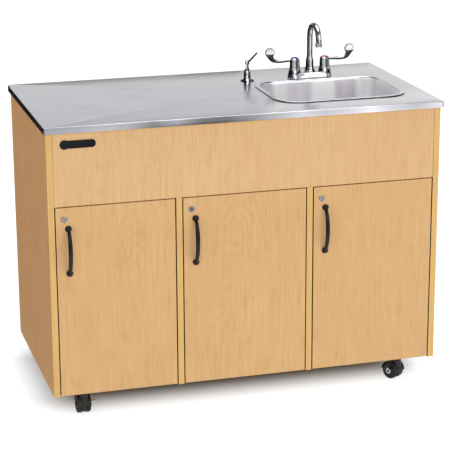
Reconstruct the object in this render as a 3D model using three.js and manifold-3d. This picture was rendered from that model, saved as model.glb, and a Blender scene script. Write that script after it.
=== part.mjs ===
// Portable handwash sink: a three-door cabinet on casters, with a stainless worktop, a drop-in bowl,
// a two-handle gooseneck faucet, a soap dispenser, and its own water tanks, pump and heater.
// Millimetres, +X to the right, +Y to the back, +Z up. The origin is on the floor under the middle.
import * as THREE from 'three';
import { mergeVertices } from 'three/addons/utils/BufferGeometryUtils.js';
import Module from 'manifold-3d';

const wasm = await Module();
wasm.setup();

// Driving dimensions

const fit = 0.3; // gap left between two pieces that meet
const board = 19; // thickness of every laminated panel
const reveal = 3; // open line round a door

const cabinet = { width: 1219, depth: 610, height: 810 }; // over the panels, without worktop and casters
const leftCompartment = 365; // clear width; the other two share what is left
const apronHeight = 220;
const doorLift = 2.5; // bottom of the doors above the bottom of the panels
const backGap = 2; // between a closed door and what stands behind it

const worktop = { thickness: 20, sheet: 1.2, side: 6, front: 12, back: 18 }; // side, front, back: overhangs

const bowl = { width: 394, length: 298, depth: 165, corner: 62, wall: 1.5, rim: 17, rimHeight: 3.2 };
const bowlPlace = { leftOfBay: 55.5, fromFront: 257 }; // its middle, from that of the right bay
const cutoutMargin = 5; // worktop opening past the bowl's inner outline
const drain = { hole: 24, seat: 44, flange: 40, body: 23, bore: 19, length: 60 };
const tailpiece = { collar: 26, collarHeight: 16, pipe: 16, length: 65 };
const drainHose = 17;

const faucet = { length: 149, width: 50, height: 26, behindRim: 3 };
const handleSpacing = 101.6;
const shank = { radius: 10, below: 62, clearance: 3 };
const hub = { radius: 17.5, flute: 1.1, flutes: 10, height: 40 };
const blade = { reach: 84, rise: 28, band: 9, thickness: 6, paddle: 16 };
const spoutNut = { foot: 15.5, top: 10, height: 42, bore: 7 };
const spout = { radius: 9.2, arcHeight: 133, reach: 88, tip: 3, stem: 6.5, stemLength: 26 };
const aerator = { radius: 11.5, height: 15, bore: 8.5, boreDepth: 6 };

const soap = { flange: 22.5, bell: 11.5, height: 40, bore: 5.5, shank: 11, below: 34 };
const soapPlace = { left: 208, back: 9 }; // from the faucet's middle
const soapStem = { radius: 5, inside: 42, above: 15 };
const soapHead = { radius: 7.5, height: 12, nozzle: 2.3, nozzleOut: 34, nozzleUp: 29 };
const soapBottle = { neck: 16, radius: 30, height: 116 };

const pull = {
  spacing: 136, fromEdge: 37, belowTop: 64.5, foot: 10, footDepth: 4, reach: 31, wide: 10, deep: 8,
};
const lock = { fromEdge: 25, belowTop: 35.5, radius: 7, proud: 1.5, clearance: 0.4 };
const cam = { width: 15, thickness: 2, reach: 50, behindDoor: 2 };
const hinge = {
  plateHeight: 44, plateDepth: 40, plate: 4, armHeight: 16, armDepth: 76, arm: 13, fromEnd: 92,
};

const badge = { width: 107, height: 28, thickness: 2, corner: 6, fromLeft: 41, belowTop: 21 };

const tank = { depth: 320, corner: 30, fromFront: 120, side: 22.5, gap: 16, fall: 93 }; // fall: drain to cap
const neck = { radius: 27, height: 22 };
const cap = { radius: 34, height: 22, clearance: 0.6, wasteNipple: 16, nippleHeight: 14 };
const pump = { motor: 30, motorLength: 90, head: 58, fromSide: 20, belowTop: 310, standoff: 16 };
const hose = { radius: 6, nipple: 7, nippleLength: 15 };
const heater = { width: 235, depth: 235, height: 310, corner: 28, fromBack: 60, portSpacing: 120, port: 9 };
const hoseHole = { radius: 12, feed: { fromBack: 65, belowTop: 310 }, hot: { fromBack: 45, belowTop: 190 } };
const gland = { flange: 14, stem: 8, bore: 4.5, proud: 10, fromRight: 99, z: 62 };

const caster = { height: 84, inset: { x: 100, front: 56, back: 66 }, trail: 16 };
const wheel = { radius: 27, width: 15.5, shoulder: 4, web: 11, axle: 4, axleEnd: 4 };
const hood = {
  gap: 1.3, shell: 3, neck: 13, flange: 24, flangeHeight: 7, axleClearance: 0.4, webGap: 0.7, floorGap: 9,
};
const brake = { plate: 2.5, pivot: 9, arm: 19, tabOut: 14, tabWidth: 13, angle: 40 };

// Worked out from them

const top = cabinet.height + worktop.thickness; // upper face of the worktop above the panels' feet
const inner = {
  left: board,
  right: cabinet.width - board,
  back: cabinet.depth - board,
};
const dividerLeftX = inner.left + leftCompartment;
const dividerRightX = (dividerLeftX + inner.right) / 2;
const bays = [
  { name: 'left', from: inner.left, to: dividerLeftX },
  { name: 'middle', from: dividerLeftX + board, to: dividerRightX },
  { name: 'right', from: dividerRightX + board, to: inner.right },
];
const apronBottom = cabinet.height - apronHeight;
const doorTop = apronBottom - reveal;
const behindDoors = board + backGap;
const bowlX = (bays[2].from + bays[2].to) / 2 - bowlPlace.leftOfBay;
const bowlY = bowlPlace.fromFront;
const bowlBottom = top - bowl.depth;
const faucetX = bowlX;
const faucetY = bowlY + bowl.length / 2 + bowl.rim + faucet.behindRim + faucet.width / 2;
const soapX = faucetX - soapPlace.left;
const soapY = faucetY + soapPlace.back;
const frontEdge = -pull.reach;
const backEdge = cabinet.depth + worktop.back;

// Materials

const finish = (color, roughness, metalness) => ({ color, roughness, metalness });
const laminate = finish(0xd9b07c, 0.45, 0);
const steel = finish(0xbfc1c6, 0.32, 1);
const chrome = finish(0xe4e6ea, 0.08, 1);
const blackMetal = finish(0x16171a, 0.35, 0.2);
const blackPlastic = finish(0x1b1c1e, 0.5, 0);
const tyre = finish(0x131313, 0.8, 0);
const tankPlastic = finish(0xe6ebee, 0.4, 0);
const capPlastic = finish(0x2c5fa8, 0.45, 0);
const greyCap = finish(0x5c6166, 0.45, 0);
const enamel = finish(0xdfe1df, 0.35, 0);
const clearHose = finish(0xcfd8da, 0.3, 0);
const greyHose = finish(0x8c9093, 0.5, 0);
const core = finish(0xb08a5c, 0.8, 0);
const galvanised = finish(0xb4b6b8, 0.4, 1);

const assembly = new THREE.Group();

function place(parent, name, geometry, look, x = 0, y = 0, z = 0) {
  const mesh = new THREE.Mesh(geometry, new THREE.MeshStandardMaterial(look));
  mesh.name = name;
  mesh.position.set(x, y, z);
  parent.add(mesh);
}

// Solids: joins and cuts

function solidOf(geometry) {
  const plain = geometry.clone();
  plain.deleteAttribute('normal');
  plain.deleteAttribute('uv');
  const merged = mergeVertices(plain, 1e-4);
  const vertProperties = Float32Array.from(merged.attributes.position.array);
  const triVerts = Uint32Array.from(merged.index.array);
  return new wasm.Manifold(new wasm.Mesh({ numProp: 3, vertProperties, triVerts }));
}

function geometryOf(solid) {
  const mesh = solid.getMesh();
  const geometry = new THREE.BufferGeometry();
  geometry.setAttribute('position', new THREE.BufferAttribute(Float32Array.from(mesh.vertProperties), 3));
  geometry.setIndex(Array.from(mesh.triVerts));
  geometry.computeVertexNormals();
  return geometry;
}

function joined(first, ...others) {
  return geometryOf(others.reduce((solid, other) => solid.add(solidOf(other)), solidOf(first)));
}

function cut(first, ...tools) {
  return geometryOf(tools.reduce((solid, tool) => solid.subtract(solidOf(tool)), solidOf(first)));
}

// Basic shapes

function block(x0, x1, y0, y1, z0, z1) {
  const geometry = new THREE.BoxGeometry(x1 - x0, y1 - y0, z1 - z0);
  return geometry.translate((x0 + x1) / 2, (y0 + y1) / 2, (z0 + z1) / 2);
}

function rodZ(radius, z0, z1, sides = 20) {
  const geometry = new THREE.CylinderGeometry(radius, radius, z1 - z0, sides);
  return geometry.rotateX(Math.PI / 2).translate(0, 0, (z0 + z1) / 2);
}

function rodY(radius, y0, y1, sides = 20) {
  const geometry = new THREE.CylinderGeometry(radius, radius, y1 - y0, sides);
  return geometry.translate(0, (y0 + y1) / 2, 0);
}

function rodX(radius, x0, x1, sides = 20) {
  const geometry = new THREE.CylinderGeometry(radius, radius, x1 - x0, sides);
  return geometry.rotateZ(Math.PI / 2).translate((x0 + x1) / 2, 0, 0);
}

// A closed profile of [radius, z] points, turned round the Z axis.
function turned(profile, sides = 24) {
  const points = profile.map(([r, z]) => new THREE.Vector2(r, z));
  return new THREE.LatheGeometry(points, sides).rotateX(Math.PI / 2);
}

// An outline in the Y-Z plane, pulled along X.
function pulledX(outline, x0, x1) {
  const shape = new THREE.Shape(outline.map(([y, z]) => new THREE.Vector2(y, z)));
  const geometry = new THREE.ExtrudeGeometry(shape, { depth: x1 - x0, bevelEnabled: false });
  geometry.applyMatrix4(new THREE.Matrix4().makeBasis(
    new THREE.Vector3(0, 1, 0), new THREE.Vector3(0, 0, 1), new THREE.Vector3(1, 0, 0)));
  return geometry.translate(x0, 0, 0);
}

function roundedShape(width, length, radius) {
  const shape = new THREE.Shape();
  const x = width / 2;
  const y = length / 2;
  shape.moveTo(radius - x, -y);
  shape.absarc(x - radius, radius - y, radius, -Math.PI / 2, 0);
  shape.absarc(x - radius, y - radius, radius, 0, Math.PI / 2);
  shape.absarc(radius - x, y - radius, radius, Math.PI / 2, Math.PI);
  shape.absarc(radius - x, radius - y, radius, Math.PI, 1.5 * Math.PI);
  return shape;
}

function roundedSlab(width, length, radius, z0, z1, curveSegments = 3) {
  const options = { depth: z1 - z0, bevelEnabled: false, curveSegments };
  return new THREE.ExtrudeGeometry(roundedShape(width, length, radius), options).translate(0, 0, z0);
}

// One ring of a rounded rectangle, centred on the Z axis, with a fixed number of points.
const arcSteps = 5;
function ring(halfX, halfY, radius, z) {
  const points = [];
  for (let corner = 0; corner < 4; corner += 1) {
    const sx = corner === 0 || corner === 3 ? 1 : -1;
    const sy = corner < 2 ? 1 : -1;
    for (let step = 0; step <= arcSteps; step += 1) {
      const angle = (corner + step / arcSteps) * Math.PI / 2;
      const x = sx * (halfX - radius) + radius * Math.cos(angle);
      const y = sy * (halfY - radius) + radius * Math.sin(angle);
      points.push([x, y, z]);
    }
  }
  return points;
}

// A skin through a list of equal rings. An open list is closed with a flat cap at each end,
// and a looped one by joining its last ring to its first.
function lofted(rings, looped = false) {
  const count = rings[0].length;
  const vertices = rings.flat(2);
  const triangles = [];
  const bands = looped ? rings.length : rings.length - 1;
  for (let band = 0; band < bands; band += 1) {
    const low = band * count;
    const high = ((band + 1) % rings.length) * count;
    for (let i = 0; i < count; i += 1) {
      const next = (i + 1) % count;
      triangles.push(low + i, low + next, high + next, low + i, high + next, high + i);
    }
  }
  if (!looped) {
    const last = (rings.length - 1) * count;
    for (let i = 1; i < count - 1; i += 1) {
      triangles.push(0, i + 1, i, last, last + i, last + i + 1);
    }
  }
  const geometry = new THREE.BufferGeometry();
  geometry.setAttribute('position', new THREE.Float32BufferAttribute(vertices, 3));
  geometry.setIndex(triangles);
  geometry.computeVertexNormals();
  return geometry;
}

// A round bar along a curve, with flat ends.
function tube(curve, radius, steps, sides = 10) {
  const section = new THREE.Shape();
  section.absarc(0, 0, radius, 0, 2 * Math.PI);
  return new THREE.ExtrudeGeometry(section, { steps, curveSegments: sides / 2, extrudePath: curve });
}

function smoothCurve(points) {
  return new THREE.CatmullRomCurve3(points.map((p) => new THREE.Vector3(...p)), false, 'centripetal');
}

// Cabinet

function sidePanel(name, x) {
  place(assembly, name, block(x, x + board, 0, cabinet.depth, 0, cabinet.height - fit), laminate);
}

// A divider shows its front edge between two doors. It stands on the bottom panel, stops behind the
// apron and, where the bowl hangs over it, is notched to pass below.
function divider(name, x, underBowl) {
  const low = board + fit;
  const high = cabinet.height - fit;
  const notchY = bowlY + bowl.length / 2 + bowl.rim + 10;
  const notchZ = bowlBottom - 25;
  const outline = [
    [0, 0], [behindDoors - fit, 0], [behindDoors - fit, low],
    [inner.back - fit, low], [inner.back - fit, high],
    ...(underBowl ? [[notchY, high], [notchY, notchZ], [board + fit, notchZ]] : [[board + fit, high]]),
    [board + fit, doorTop + reveal - fit], [0, doorTop + reveal - fit],
  ];
  const panel = pulledX(outline, x + fit / 2, x + board - fit / 2);
  const holes = underBowl ? [hoseHole.feed, hoseHole.hot].map((hole) => (
    rodX(hoseHole.radius, x - 1, x + board + 1, 16)
      .translate(0, cabinet.depth - hole.fromBack, top - hole.belowTop)
  )) : [];
  place(assembly, name, holes.length ? cut(panel, ...holes) : panel, laminate);
}

function carcass() {
  sidePanel('side_panel_left', 0);
  sidePanel('side_panel_right', inner.right);
  divider('divider_left', dividerLeftX, false);
  divider('divider_right', dividerRightX, true);
  const [x0, x1] = [inner.left + fit, inner.right - fit];
  place(assembly, 'bottom_panel', block(x0, x1, behindDoors, cabinet.depth, 0, board), laminate);
  const apron = block(x0, x1, 0, board, apronBottom, cabinet.height - fit);
  place(assembly, 'front_apron', apron, laminate);
  const back = block(x0, x1, inner.back, cabinet.depth, board + fit, cabinet.height - fit);
  const cordHole = rodY(gland.stem + fit, inner.back - 1, cabinet.depth + 1, 16)
    .translate(cabinet.width - gland.fromRight, 0, gland.z);
  place(assembly, 'back_panel', cut(back, cordHole), laminate);
}

function cordGland() {
  const profile = [
    [gland.bore, -board - 4], [gland.stem, -board - 4], [gland.stem, fit], [gland.flange, fit],
    [gland.flange, 4], [gland.stem, gland.proud], [gland.bore, gland.proud], [gland.bore, -board - 4],
  ];
  place(assembly, 'power_cord_gland', turned(profile, 16).rotateX(-Math.PI / 2), blackPlastic,
    cabinet.width - gland.fromRight, cabinet.depth, gland.z);
}

function nameplate() {
  const plate = roundedSlab(badge.width, badge.height, badge.corner, 0, badge.thickness);
  place(assembly, 'badge_plate', plate.rotateX(Math.PI / 2), blackPlastic,
    badge.fromLeft + badge.width / 2, -fit, cabinet.height - badge.belowTop - badge.height / 2);
}

// Worktop

// Everything that passes down through the worktop, as cutting solids.
function worktopOpenings(margin) {
  const width = bowl.width + 2 * margin;
  const length = bowl.length + 2 * margin;
  const z0 = cabinet.height - 5;
  const z1 = top + 5;
  const bowlHole = roundedSlab(width, length, bowl.corner + margin, z0, z1).translate(bowlX, bowlY, 0);
  const shankHoles = [-1, 1].map((side) => (
    rodZ(shank.radius + shank.clearance, z0, z1, 16)
      .translate(faucetX + side * handleSpacing / 2, faucetY, 0)
  ));
  const soapHole = rodZ(soap.shank + shank.clearance, z0, z1, 16).translate(soapX, soapY, 0);
  return [bowlHole, ...shankHoles, soapHole];
}

function worktopPieces() {
  const x0 = -worktop.side;
  const x1 = cabinet.width + worktop.side;
  const y0 = -worktop.front;
  const y1 = backEdge;
  const t = worktop.sheet;
  const outside = block(x0, x1, y0, y1, cabinet.height, top);
  const inside = block(x0 + t, x1 - t, y0 + t, y1 - t, cabinet.height - 5, top - t);
  place(assembly, 'countertop_sheet', cut(outside, inside, ...worktopOpenings(cutoutMargin)), steel);
  const g = t + fit;
  const wood = block(x0 + g, x1 - g, y0 + g, y1 - g, cabinet.height, top - g);
  place(assembly, 'countertop_core', cut(wood, ...worktopOpenings(cutoutMargin + 1)), core);
}

// Bowl and drain

function bowlRing(inset, z, corner = bowl.corner - inset) {
  return ring(bowl.width / 2 - inset, bowl.length / 2 - inset, corner, z);
}

function sinkBowl() {
  const t = bowl.wall;
  const [d, r] = [bowl.depth, bowl.rim];
  const inside = [
    bowlRing(-r, fit), bowlRing(1 - r, bowl.rimHeight - 1), bowlRing(4 - r, bowl.rimHeight),
    bowlRing(-3, bowl.rimHeight - 0.4), bowlRing(0, 0.8), bowlRing(2, -8), bowlRing(7, 30 - d),
    bowlRing(13, 11 - d, 52), bowlRing(24, 3 - d, 46), ring(drain.seat, drain.seat, drain.seat, -d),
    ring(drain.hole, drain.hole, drain.hole, -d),
  ];
  const outside = [
    ring(drain.hole, drain.hole, drain.hole, -d - t), ring(drain.seat, drain.seat, drain.seat, -d - t),
    bowlRing(24 - t, 3 - d - t, 46), bowlRing(13 - t, 11 - d - t, 52), bowlRing(7 - t, 30 - d),
    bowlRing(2 - t, -8), bowlRing(-t, fit),
  ];
  place(assembly, 'sink_bowl', lofted([...inside, ...outside], true), steel, bowlX, bowlY, top);
}

function drainPieces() {
  const grid = 2;
  const profile = [
    [0, 0], [drain.flange, 0], [drain.flange - 1, 1.6], [drain.body + 3, 1.6], [0, grid],
  ];
  const plate = turned(profile.map(([r, z]) => [r, z + fit]), 16);
  const sleeve = turned([
    [drain.bore, -drain.length], [drain.body, -drain.length], [drain.body, 1], [drain.bore, 1],
    [drain.bore, -drain.length],
  ], 16);
  const holes = [0, 1, 2, 3, 4, 5].map((i) => (
    rodZ(4, -1, 4, 6).translate(11 * Math.cos(i * Math.PI / 3), 11 * Math.sin(i * Math.PI / 3), 0)
  ));
  const strainer = cut(joined(plate, sleeve), ...holes);
  place(assembly, 'drain_strainer', strainer, steel, bowlX, bowlY, bowlBottom);
  const wall = 2;
  const pipe = turned([
    [tailpiece.pipe - wall, -tailpiece.length], [tailpiece.pipe, -tailpiece.length],
    [tailpiece.pipe, -tailpiece.collarHeight], [tailpiece.collar, -tailpiece.collarHeight],
    [tailpiece.collar, 0], [tailpiece.pipe - wall, 0], [tailpiece.pipe - wall, -tailpiece.length],
  ], 20);
  place(assembly, 'drain_tailpiece', pipe, greyHose, bowlX, bowlY, bowlBottom - drain.length - fit);
}

// Tanks, in the right bay

const drainEnd = bowlBottom - drain.length - tailpiece.length - 2 * fit;
const capPort = drainEnd - tank.fall;
const capTop = capPort - cap.nippleHeight - fit;
const tankTop = capTop - cap.height / 2 - neck.height;
const tankBottom = board + fit;
const tankHeight = tankTop - tankBottom;
const tankWidth = (bays[2].to - bays[2].from - tank.gap) / 2 - tank.side;
const wasteTank = { x: bays[2].from + tank.side + tankWidth / 2, y: tank.fromFront + tank.depth / 2 };
const freshTank = { x: wasteTank.x + tankWidth + tank.gap, y: wasteTank.y };

function tankPieces(kind, at, look, nipple) {
  const h = tankHeight;
  const section = (inset, z) => (
    ring(tankWidth / 2 - inset, tank.depth / 2 - inset, tank.corner - inset / 2, z)
  );
  const shell = lofted([
    section(8, 0), section(0, 14), section(0, h - 30), section(8, h - 8), section(26, h),
  ]);
  const body = joined(shell, rodZ(neck.radius, h - 2, h + neck.height, 20));
  place(assembly, `${kind}_tank`, body, tankPlastic, at.x, at.y, tankBottom);
  const bore = neck.radius + cap.clearance;
  const skirt = turned([
    [0, fit], [bore, fit], [bore, -cap.height / 2], [cap.radius, -cap.height / 2],
    [cap.radius, cap.height / 2 - 2], [cap.radius - 2, cap.height / 2], [nipple, cap.height / 2],
    [nipple, cap.height / 2 + cap.nippleHeight], [0, cap.height / 2 + cap.nippleHeight],
  ], 20);
  place(assembly, `${kind}_tank_cap`, skirt, look, at.x, at.y, tankTop + neck.height);
}

function drainHosePiece() {
  const straight = tank.fall / 5;
  const route = smoothCurve([
    [bowlX, bowlY, drainEnd], [bowlX, bowlY, drainEnd - straight],
    [(bowlX + wasteTank.x) / 2, (bowlY + wasteTank.y) / 2, (drainEnd + capPort) / 2],
    [wasteTank.x, wasteTank.y, capPort + straight], [wasteTank.x, wasteTank.y, capPort],
  ]);
  place(assembly, 'drain_hose', tube(route, drainHose, 10, 12), greyHose);
}

// Pump, heater and the hoses between them

const pumpHead = {
  x: inner.right - pump.fromSide - pump.motorLength - pump.head / 2,
  y: inner.back - pump.standoff - pump.head / 2,
  z: top - pump.belowTop,
};

function pumpPiece() {
  const h = pump.head / 2;
  const reach = h + hose.nippleLength;
  const body = joined(
    block(-h, h, -h, h, -h, h),
    rodX(pump.motor - 2, h - 1, h + pump.motorLength, 18),
    block(-h + 8, h + pump.motorLength - 8, h - 6, h + pump.standoff - fit, -20, 20),
    block(h + 10, h + pump.motorLength - 10, 0, h, -16, 16),
    rodY(hose.nipple, -reach, -h + 1, 12),
    rodZ(hose.nipple, h - 1, reach, 12),
    rodX(hose.nipple, -reach, -h + 1, 12),
  );
  place(assembly, 'water_pump', body, blackPlastic, pumpHead.x, pumpHead.y, pumpHead.z);
}

const heaterAt = {
  x: (bays[1].from + bays[1].to) / 2,
  y: inner.back - heater.fromBack - heater.depth / 2,
  z: board + fit,
};
const heaterPort = heater.height + 20;

function heaterPiece() {
  const { width: w, depth: d, height: h, corner: r } = heater;
  const section = (inset, z) => ring(w / 2 - inset, d / 2 - inset, r - inset / 2, z);
  const jacket = lofted([section(4, 0), section(0, 6), section(0, h - 12), section(10, h)]);
  const ports = [-1, 1].map((side) => (
    rodZ(heater.port, h - 2, heaterPort, 12).translate(side * heater.portSpacing / 2, 0, 0)
  ));
  place(assembly, 'water_heater', joined(jacket, ...ports), enamel, heaterAt.x, heaterAt.y, heaterAt.z);
}

// Each hose runs from one port to another and leaves both of them square.
function hosePieces() {
  const reach = pump.head / 2 + hose.nippleLength + fit;
  const { x: px, y: py, z: pz } = pumpHead;
  const shankZ = top - shank.below - fit;
  const [coldX, hotX] = [faucetX - handleSpacing / 2, faucetX + handleSpacing / 2];
  const feedY = cabinet.depth - hoseHole.feed.fromBack;
  const hotY = cabinet.depth - hoseHole.hot.fromBack;
  const [feedZ, hotZ] = [top - hoseHole.feed.belowTop, top - hoseHole.hot.belowTop];
  const [wallFrom, wallTo] = [dividerRightX - 12, dividerRightX + board + 12];
  const portX = heater.portSpacing / 2;
  const portZ = heaterAt.z + heaterPort + fit;
  const routes = {
    suction_hose: [
      [freshTank.x, freshTank.y, capPort], [freshTank.x, freshTank.y, capPort + 18],
      [(freshTank.x + px) / 2, freshTank.y + 60, pz + 22], [px, py - reach - 60, pz + 6],
      [px, py - reach - 15, pz], [px, py - reach, pz],
    ],
    cold_supply_hose: [
      [px, py, pz + reach], [px, py, pz + reach + 20], [px - 40, py, pz + reach + 70],
      [coldX + 40, py - 15, shankZ - 100], [coldX, faucetY + 30, shankZ - 70],
      [coldX, faucetY, shankZ - 25], [coldX, faucetY, shankZ],
    ],
    heater_feed_hose: [
      [px - reach, py, pz], [px - reach - 20, py, pz], [wallTo, feedY, feedZ],
      [wallFrom, feedY, feedZ], [heaterAt.x + 90, feedY - 30, feedZ - 30],
      [heaterAt.x - portX + 20, heaterAt.y + 40, portZ + 70], [heaterAt.x - portX, heaterAt.y, portZ + 25],
      [heaterAt.x - portX, heaterAt.y, portZ],
    ],
    hot_supply_hose: [
      [heaterAt.x + portX, heaterAt.y, portZ], [heaterAt.x + portX, heaterAt.y, portZ + 25],
      [heaterAt.x + portX + 30, heaterAt.y + 50, hotZ - 90],
      [wallFrom, hotY, hotZ], [wallTo, hotY, hotZ],
      [coldX + 30, hotY, shankZ - 68], [hotX, faucetY + 40, shankZ - 62],
      [hotX, faucetY, shankZ - 25], [hotX, faucetY, shankZ],
    ],
  };
  for (const [name, route] of Object.entries(routes)) {
    place(assembly, name, tube(smoothCurve(route), hose.radius, 18, 8), clearHose);
  }
}

// Faucet

const hubBase = faucet.height + fit;

function faucetBase() {
  const half = { x: faucet.length / 2, y: faucet.width / 2 };
  const section = (inset, z) => ring(half.x - inset, half.y - inset, half.y - inset, z);
  const h = faucet.height;
  const cover = lofted([
    section(0, fit), section(0, 5), section(2.5, h * 0.55), section(6.5, h - 3), section(9, h),
  ]);
  const shanks = [-1, 1].map((side) => (
    rodZ(shank.radius, -shank.below, 2, 14).translate(side * handleSpacing / 2, 0, 0)
  ));
  place(assembly, 'faucet_base', joined(cover, ...shanks), chrome, faucetX, faucetY, top);
}

// The hub is fluted and tapers a little. The blade runs out level, then curves up to a flat paddle.
function faucetHandle(name, side) {
  const flutePoints = hub.flutes * 2;
  const hubRing = (scale, z) => Array.from({ length: flutePoints }, (_, i) => {
    const angle = i * 2 * Math.PI / flutePoints;
    const radius = (hub.radius + hub.flute * Math.cos(hub.flutes * angle)) * scale;
    return [radius * Math.cos(angle), radius * Math.sin(angle), z];
  });
  const barrel = lofted([hubRing(1, 0), hubRing(0.94, hub.height - 4), hubRing(0.86, hub.height)]);
  const armZ = hub.height - blade.band / 2 - 2;
  const { reach, rise } = blade;
  const route = smoothCurve([
    [4, 0, armZ], [hub.radius + 12, 0, armZ - 1], [reach - 28, 0, armZ - 2], [reach - 10, 0, armZ + 4],
    [reach - 1, 0, armZ + rise * 0.6], [reach, 0, armZ + rise],
  ]);
  const band = new THREE.Shape();
  band.absellipse(0, 0, blade.thickness / 2, blade.band / 2, 0, 2 * Math.PI);
  const arm = new THREE.ExtrudeGeometry(band, { steps: 9, curveSegments: 4, extrudePath: route });
  const paddle = rodY(blade.paddle, -blade.thickness / 2, blade.thickness / 2, 20)
    .translate(reach, 0, armZ + rise);
  const handle = joined(barrel, arm, paddle);
  if (side < 0) {
    handle.rotateZ(Math.PI);
  }
  place(assembly, name, handle, chrome, faucetX + side * handleSpacing / 2, faucetY, top + hubBase);
}

function spoutPieces() {
  const nutTop = hubBase + spoutNut.height;
  const nut = turned([
    [spoutNut.bore, hubBase], [spoutNut.foot, hubBase], [spoutNut.foot - 1, hubBase + 6],
    [spoutNut.top, nutTop - 6], [spoutNut.top, nutTop], [spoutNut.bore, nutTop], [spoutNut.bore, hubBase],
  ], 24);
  place(assembly, 'spout_nut', nut, chrome, faucetX, faucetY, top);
  const radius = spout.reach / 2;
  const arcPoints = 12;
  const path = [[0, 0, nutTop + fit], [0, 0, (nutTop + spout.arcHeight) / 2]];
  for (let i = 0; i <= arcPoints; i += 1) {
    const angle = i * Math.PI / arcPoints;
    path.push([0, radius * Math.cos(angle) - radius, spout.arcHeight + radius * Math.sin(angle)]);
  }
  for (const drop of [spout.tip / 2, spout.tip]) {
    path.push([0, -spout.reach, spout.arcHeight - drop]);
  }
  const neckTube = tube(smoothCurve(path), spout.radius, 20, 10);
  const stem = rodZ(spout.stem, nutTop - spout.stemLength, nutTop + 3, 14);
  place(assembly, 'spout', joined(neckTube, stem), chrome, faucetX, faucetY, top);
  const a = aerator;
  const outlet = turned([
    [0, a.boreDepth], [a.bore, a.boreDepth], [a.bore, 0], [a.radius - 1, 0], [a.radius, 1],
    [a.radius, a.height - 2], [spout.radius, a.height], [0, a.height],
  ], 20);
  place(assembly, 'spout_aerator', outlet, chrome, faucetX, faucetY - spout.reach,
    top + spout.arcHeight - spout.tip - fit - a.height);
}

// Soap dispenser

function soapPieces() {
  const s = soap;
  const collar = turned([
    [0, -s.below], [s.shank, -s.below], [s.shank, fit], [s.flange, fit], [s.flange, 2],
    [s.flange - 3, 3], [s.bell, 7], [s.bell, s.height - 10], [s.bell - 1, s.height - 4],
    [s.bell - 4, s.height], [s.bore, s.height], [s.bore, 8 - s.below], [0, 8 - s.below],
  ], 16);
  place(assembly, 'soap_dispenser_collar', collar, chrome, soapX, soapY, top);
  const headBase = s.height + soapStem.above;
  const stem = rodZ(soapStem.radius, s.height - soapStem.inside, headBase - fit, 14);
  place(assembly, 'soap_pump_stem', stem, chrome, soapX, soapY, top);
  const { nozzleOut: out, nozzleUp: up, nozzle, radius, height } = soapHead;
  const nozzleZ = headBase + height / 2;
  const spike = new THREE.LineCurve3(new THREE.Vector3(radius - 4, 0, nozzleZ - 2),
    new THREE.Vector3(out, 0, nozzleZ + up));
  const head = joined(rodZ(radius, headBase, headBase + height, 16), tube(spike, nozzle, 1, 10));
  place(assembly, 'soap_nozzle', head, chrome, soapX, soapY, top);
  const b = soapBottle;
  const z = -s.below - fit;
  const bottle = turned([
    [0, z - b.height], [b.radius - 3, z - b.height], [b.radius, z - b.height + 4], [b.radius, z - 24],
    [b.neck, z - 12], [b.neck, z], [0, z],
  ], 20);
  place(assembly, 'soap_bottle', bottle, tankPlastic, soapX, soapY, top);
}

// Doors, with their pulls, locks and hinges

function doorPieces(bay) {
  const [x0, x1] = [bay.from + reveal, bay.to - reveal];
  const lockX = x0 + lock.fromEdge;
  const lockZ = doorTop - lock.belowTop;
  const hole = rodY(lock.radius + lock.clearance, -1, board + 1, 20).translate(lockX, 0, lockZ);
  place(assembly, `door_${bay.name}`, cut(block(x0, x1, 0, board, doorLift, doorTop), hole), laminate);

  const half = pull.spacing / 2;
  const peak = pull.reach - pull.deep / 2;
  const swing = 4 * (peak - pull.footDepth) / 3 + pull.footDepth; // a cubic's middle is 3/4 of the way out
  const bow = new THREE.CubicBezierCurve3(
    new THREE.Vector3(0, -pull.footDepth, half), new THREE.Vector3(0, -swing, half * 0.62),
    new THREE.Vector3(0, -swing, -half * 0.62), new THREE.Vector3(0, -pull.footDepth, -half));
  const section = new THREE.Shape();
  section.absellipse(0, 0, pull.wide / 2, pull.deep / 2, 0, 2 * Math.PI);
  const bar = new THREE.ExtrudeGeometry(section, { steps: 12, curveSegments: 4, extrudePath: bow });
  const feet = [-1, 1].map((side) => (
    rodY(pull.foot, -pull.footDepth - 1.5, -fit, 12).translate(0, 0, side * half)
  ));
  place(assembly, `pull_${bay.name}`, joined(feet[0], feet[1], bar), blackMetal,
    x0 + pull.fromEdge, 0, doorTop - pull.belowTop - half);

  // The plug turns in the door, and its cam swings up behind the apron to lock.
  const camY = board + cam.behindDoor;
  const plug = rodY(lock.radius, -lock.proud, camY + cam.thickness, 20);
  const arm = block(-cam.width / 2, cam.reach, camY, camY + cam.thickness, -cam.width / 2, cam.width / 2);
  place(assembly, `lock_${bay.name}`, joined(plug, arm), chrome, lockX, 0, lockZ);

  const spots = { lower: doorLift + hinge.fromEnd, upper: doorTop - hinge.fromEnd };
  for (const [spot, z] of Object.entries(spots)) {
    const wallX = bay.to - fit;
    const y = behindDoors + 1;
    const plate = block(wallX - hinge.plate, wallX, y + hinge.armDepth - hinge.plateDepth,
      y + hinge.armDepth, z - hinge.plateHeight / 2, z + hinge.plateHeight / 2);
    const link = block(wallX - hinge.plate - hinge.arm, wallX - hinge.plate + 1, y,
      y + hinge.armDepth - 4, z - hinge.armHeight / 2, z + hinge.armHeight / 2);
    place(assembly, `hinge_${bay.name}_${spot}`, joined(plate, link), galvanised);
  }
}

// Casters: a hood turns on its stem, and a pair of wheels on one axle turns in the hood.

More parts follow.
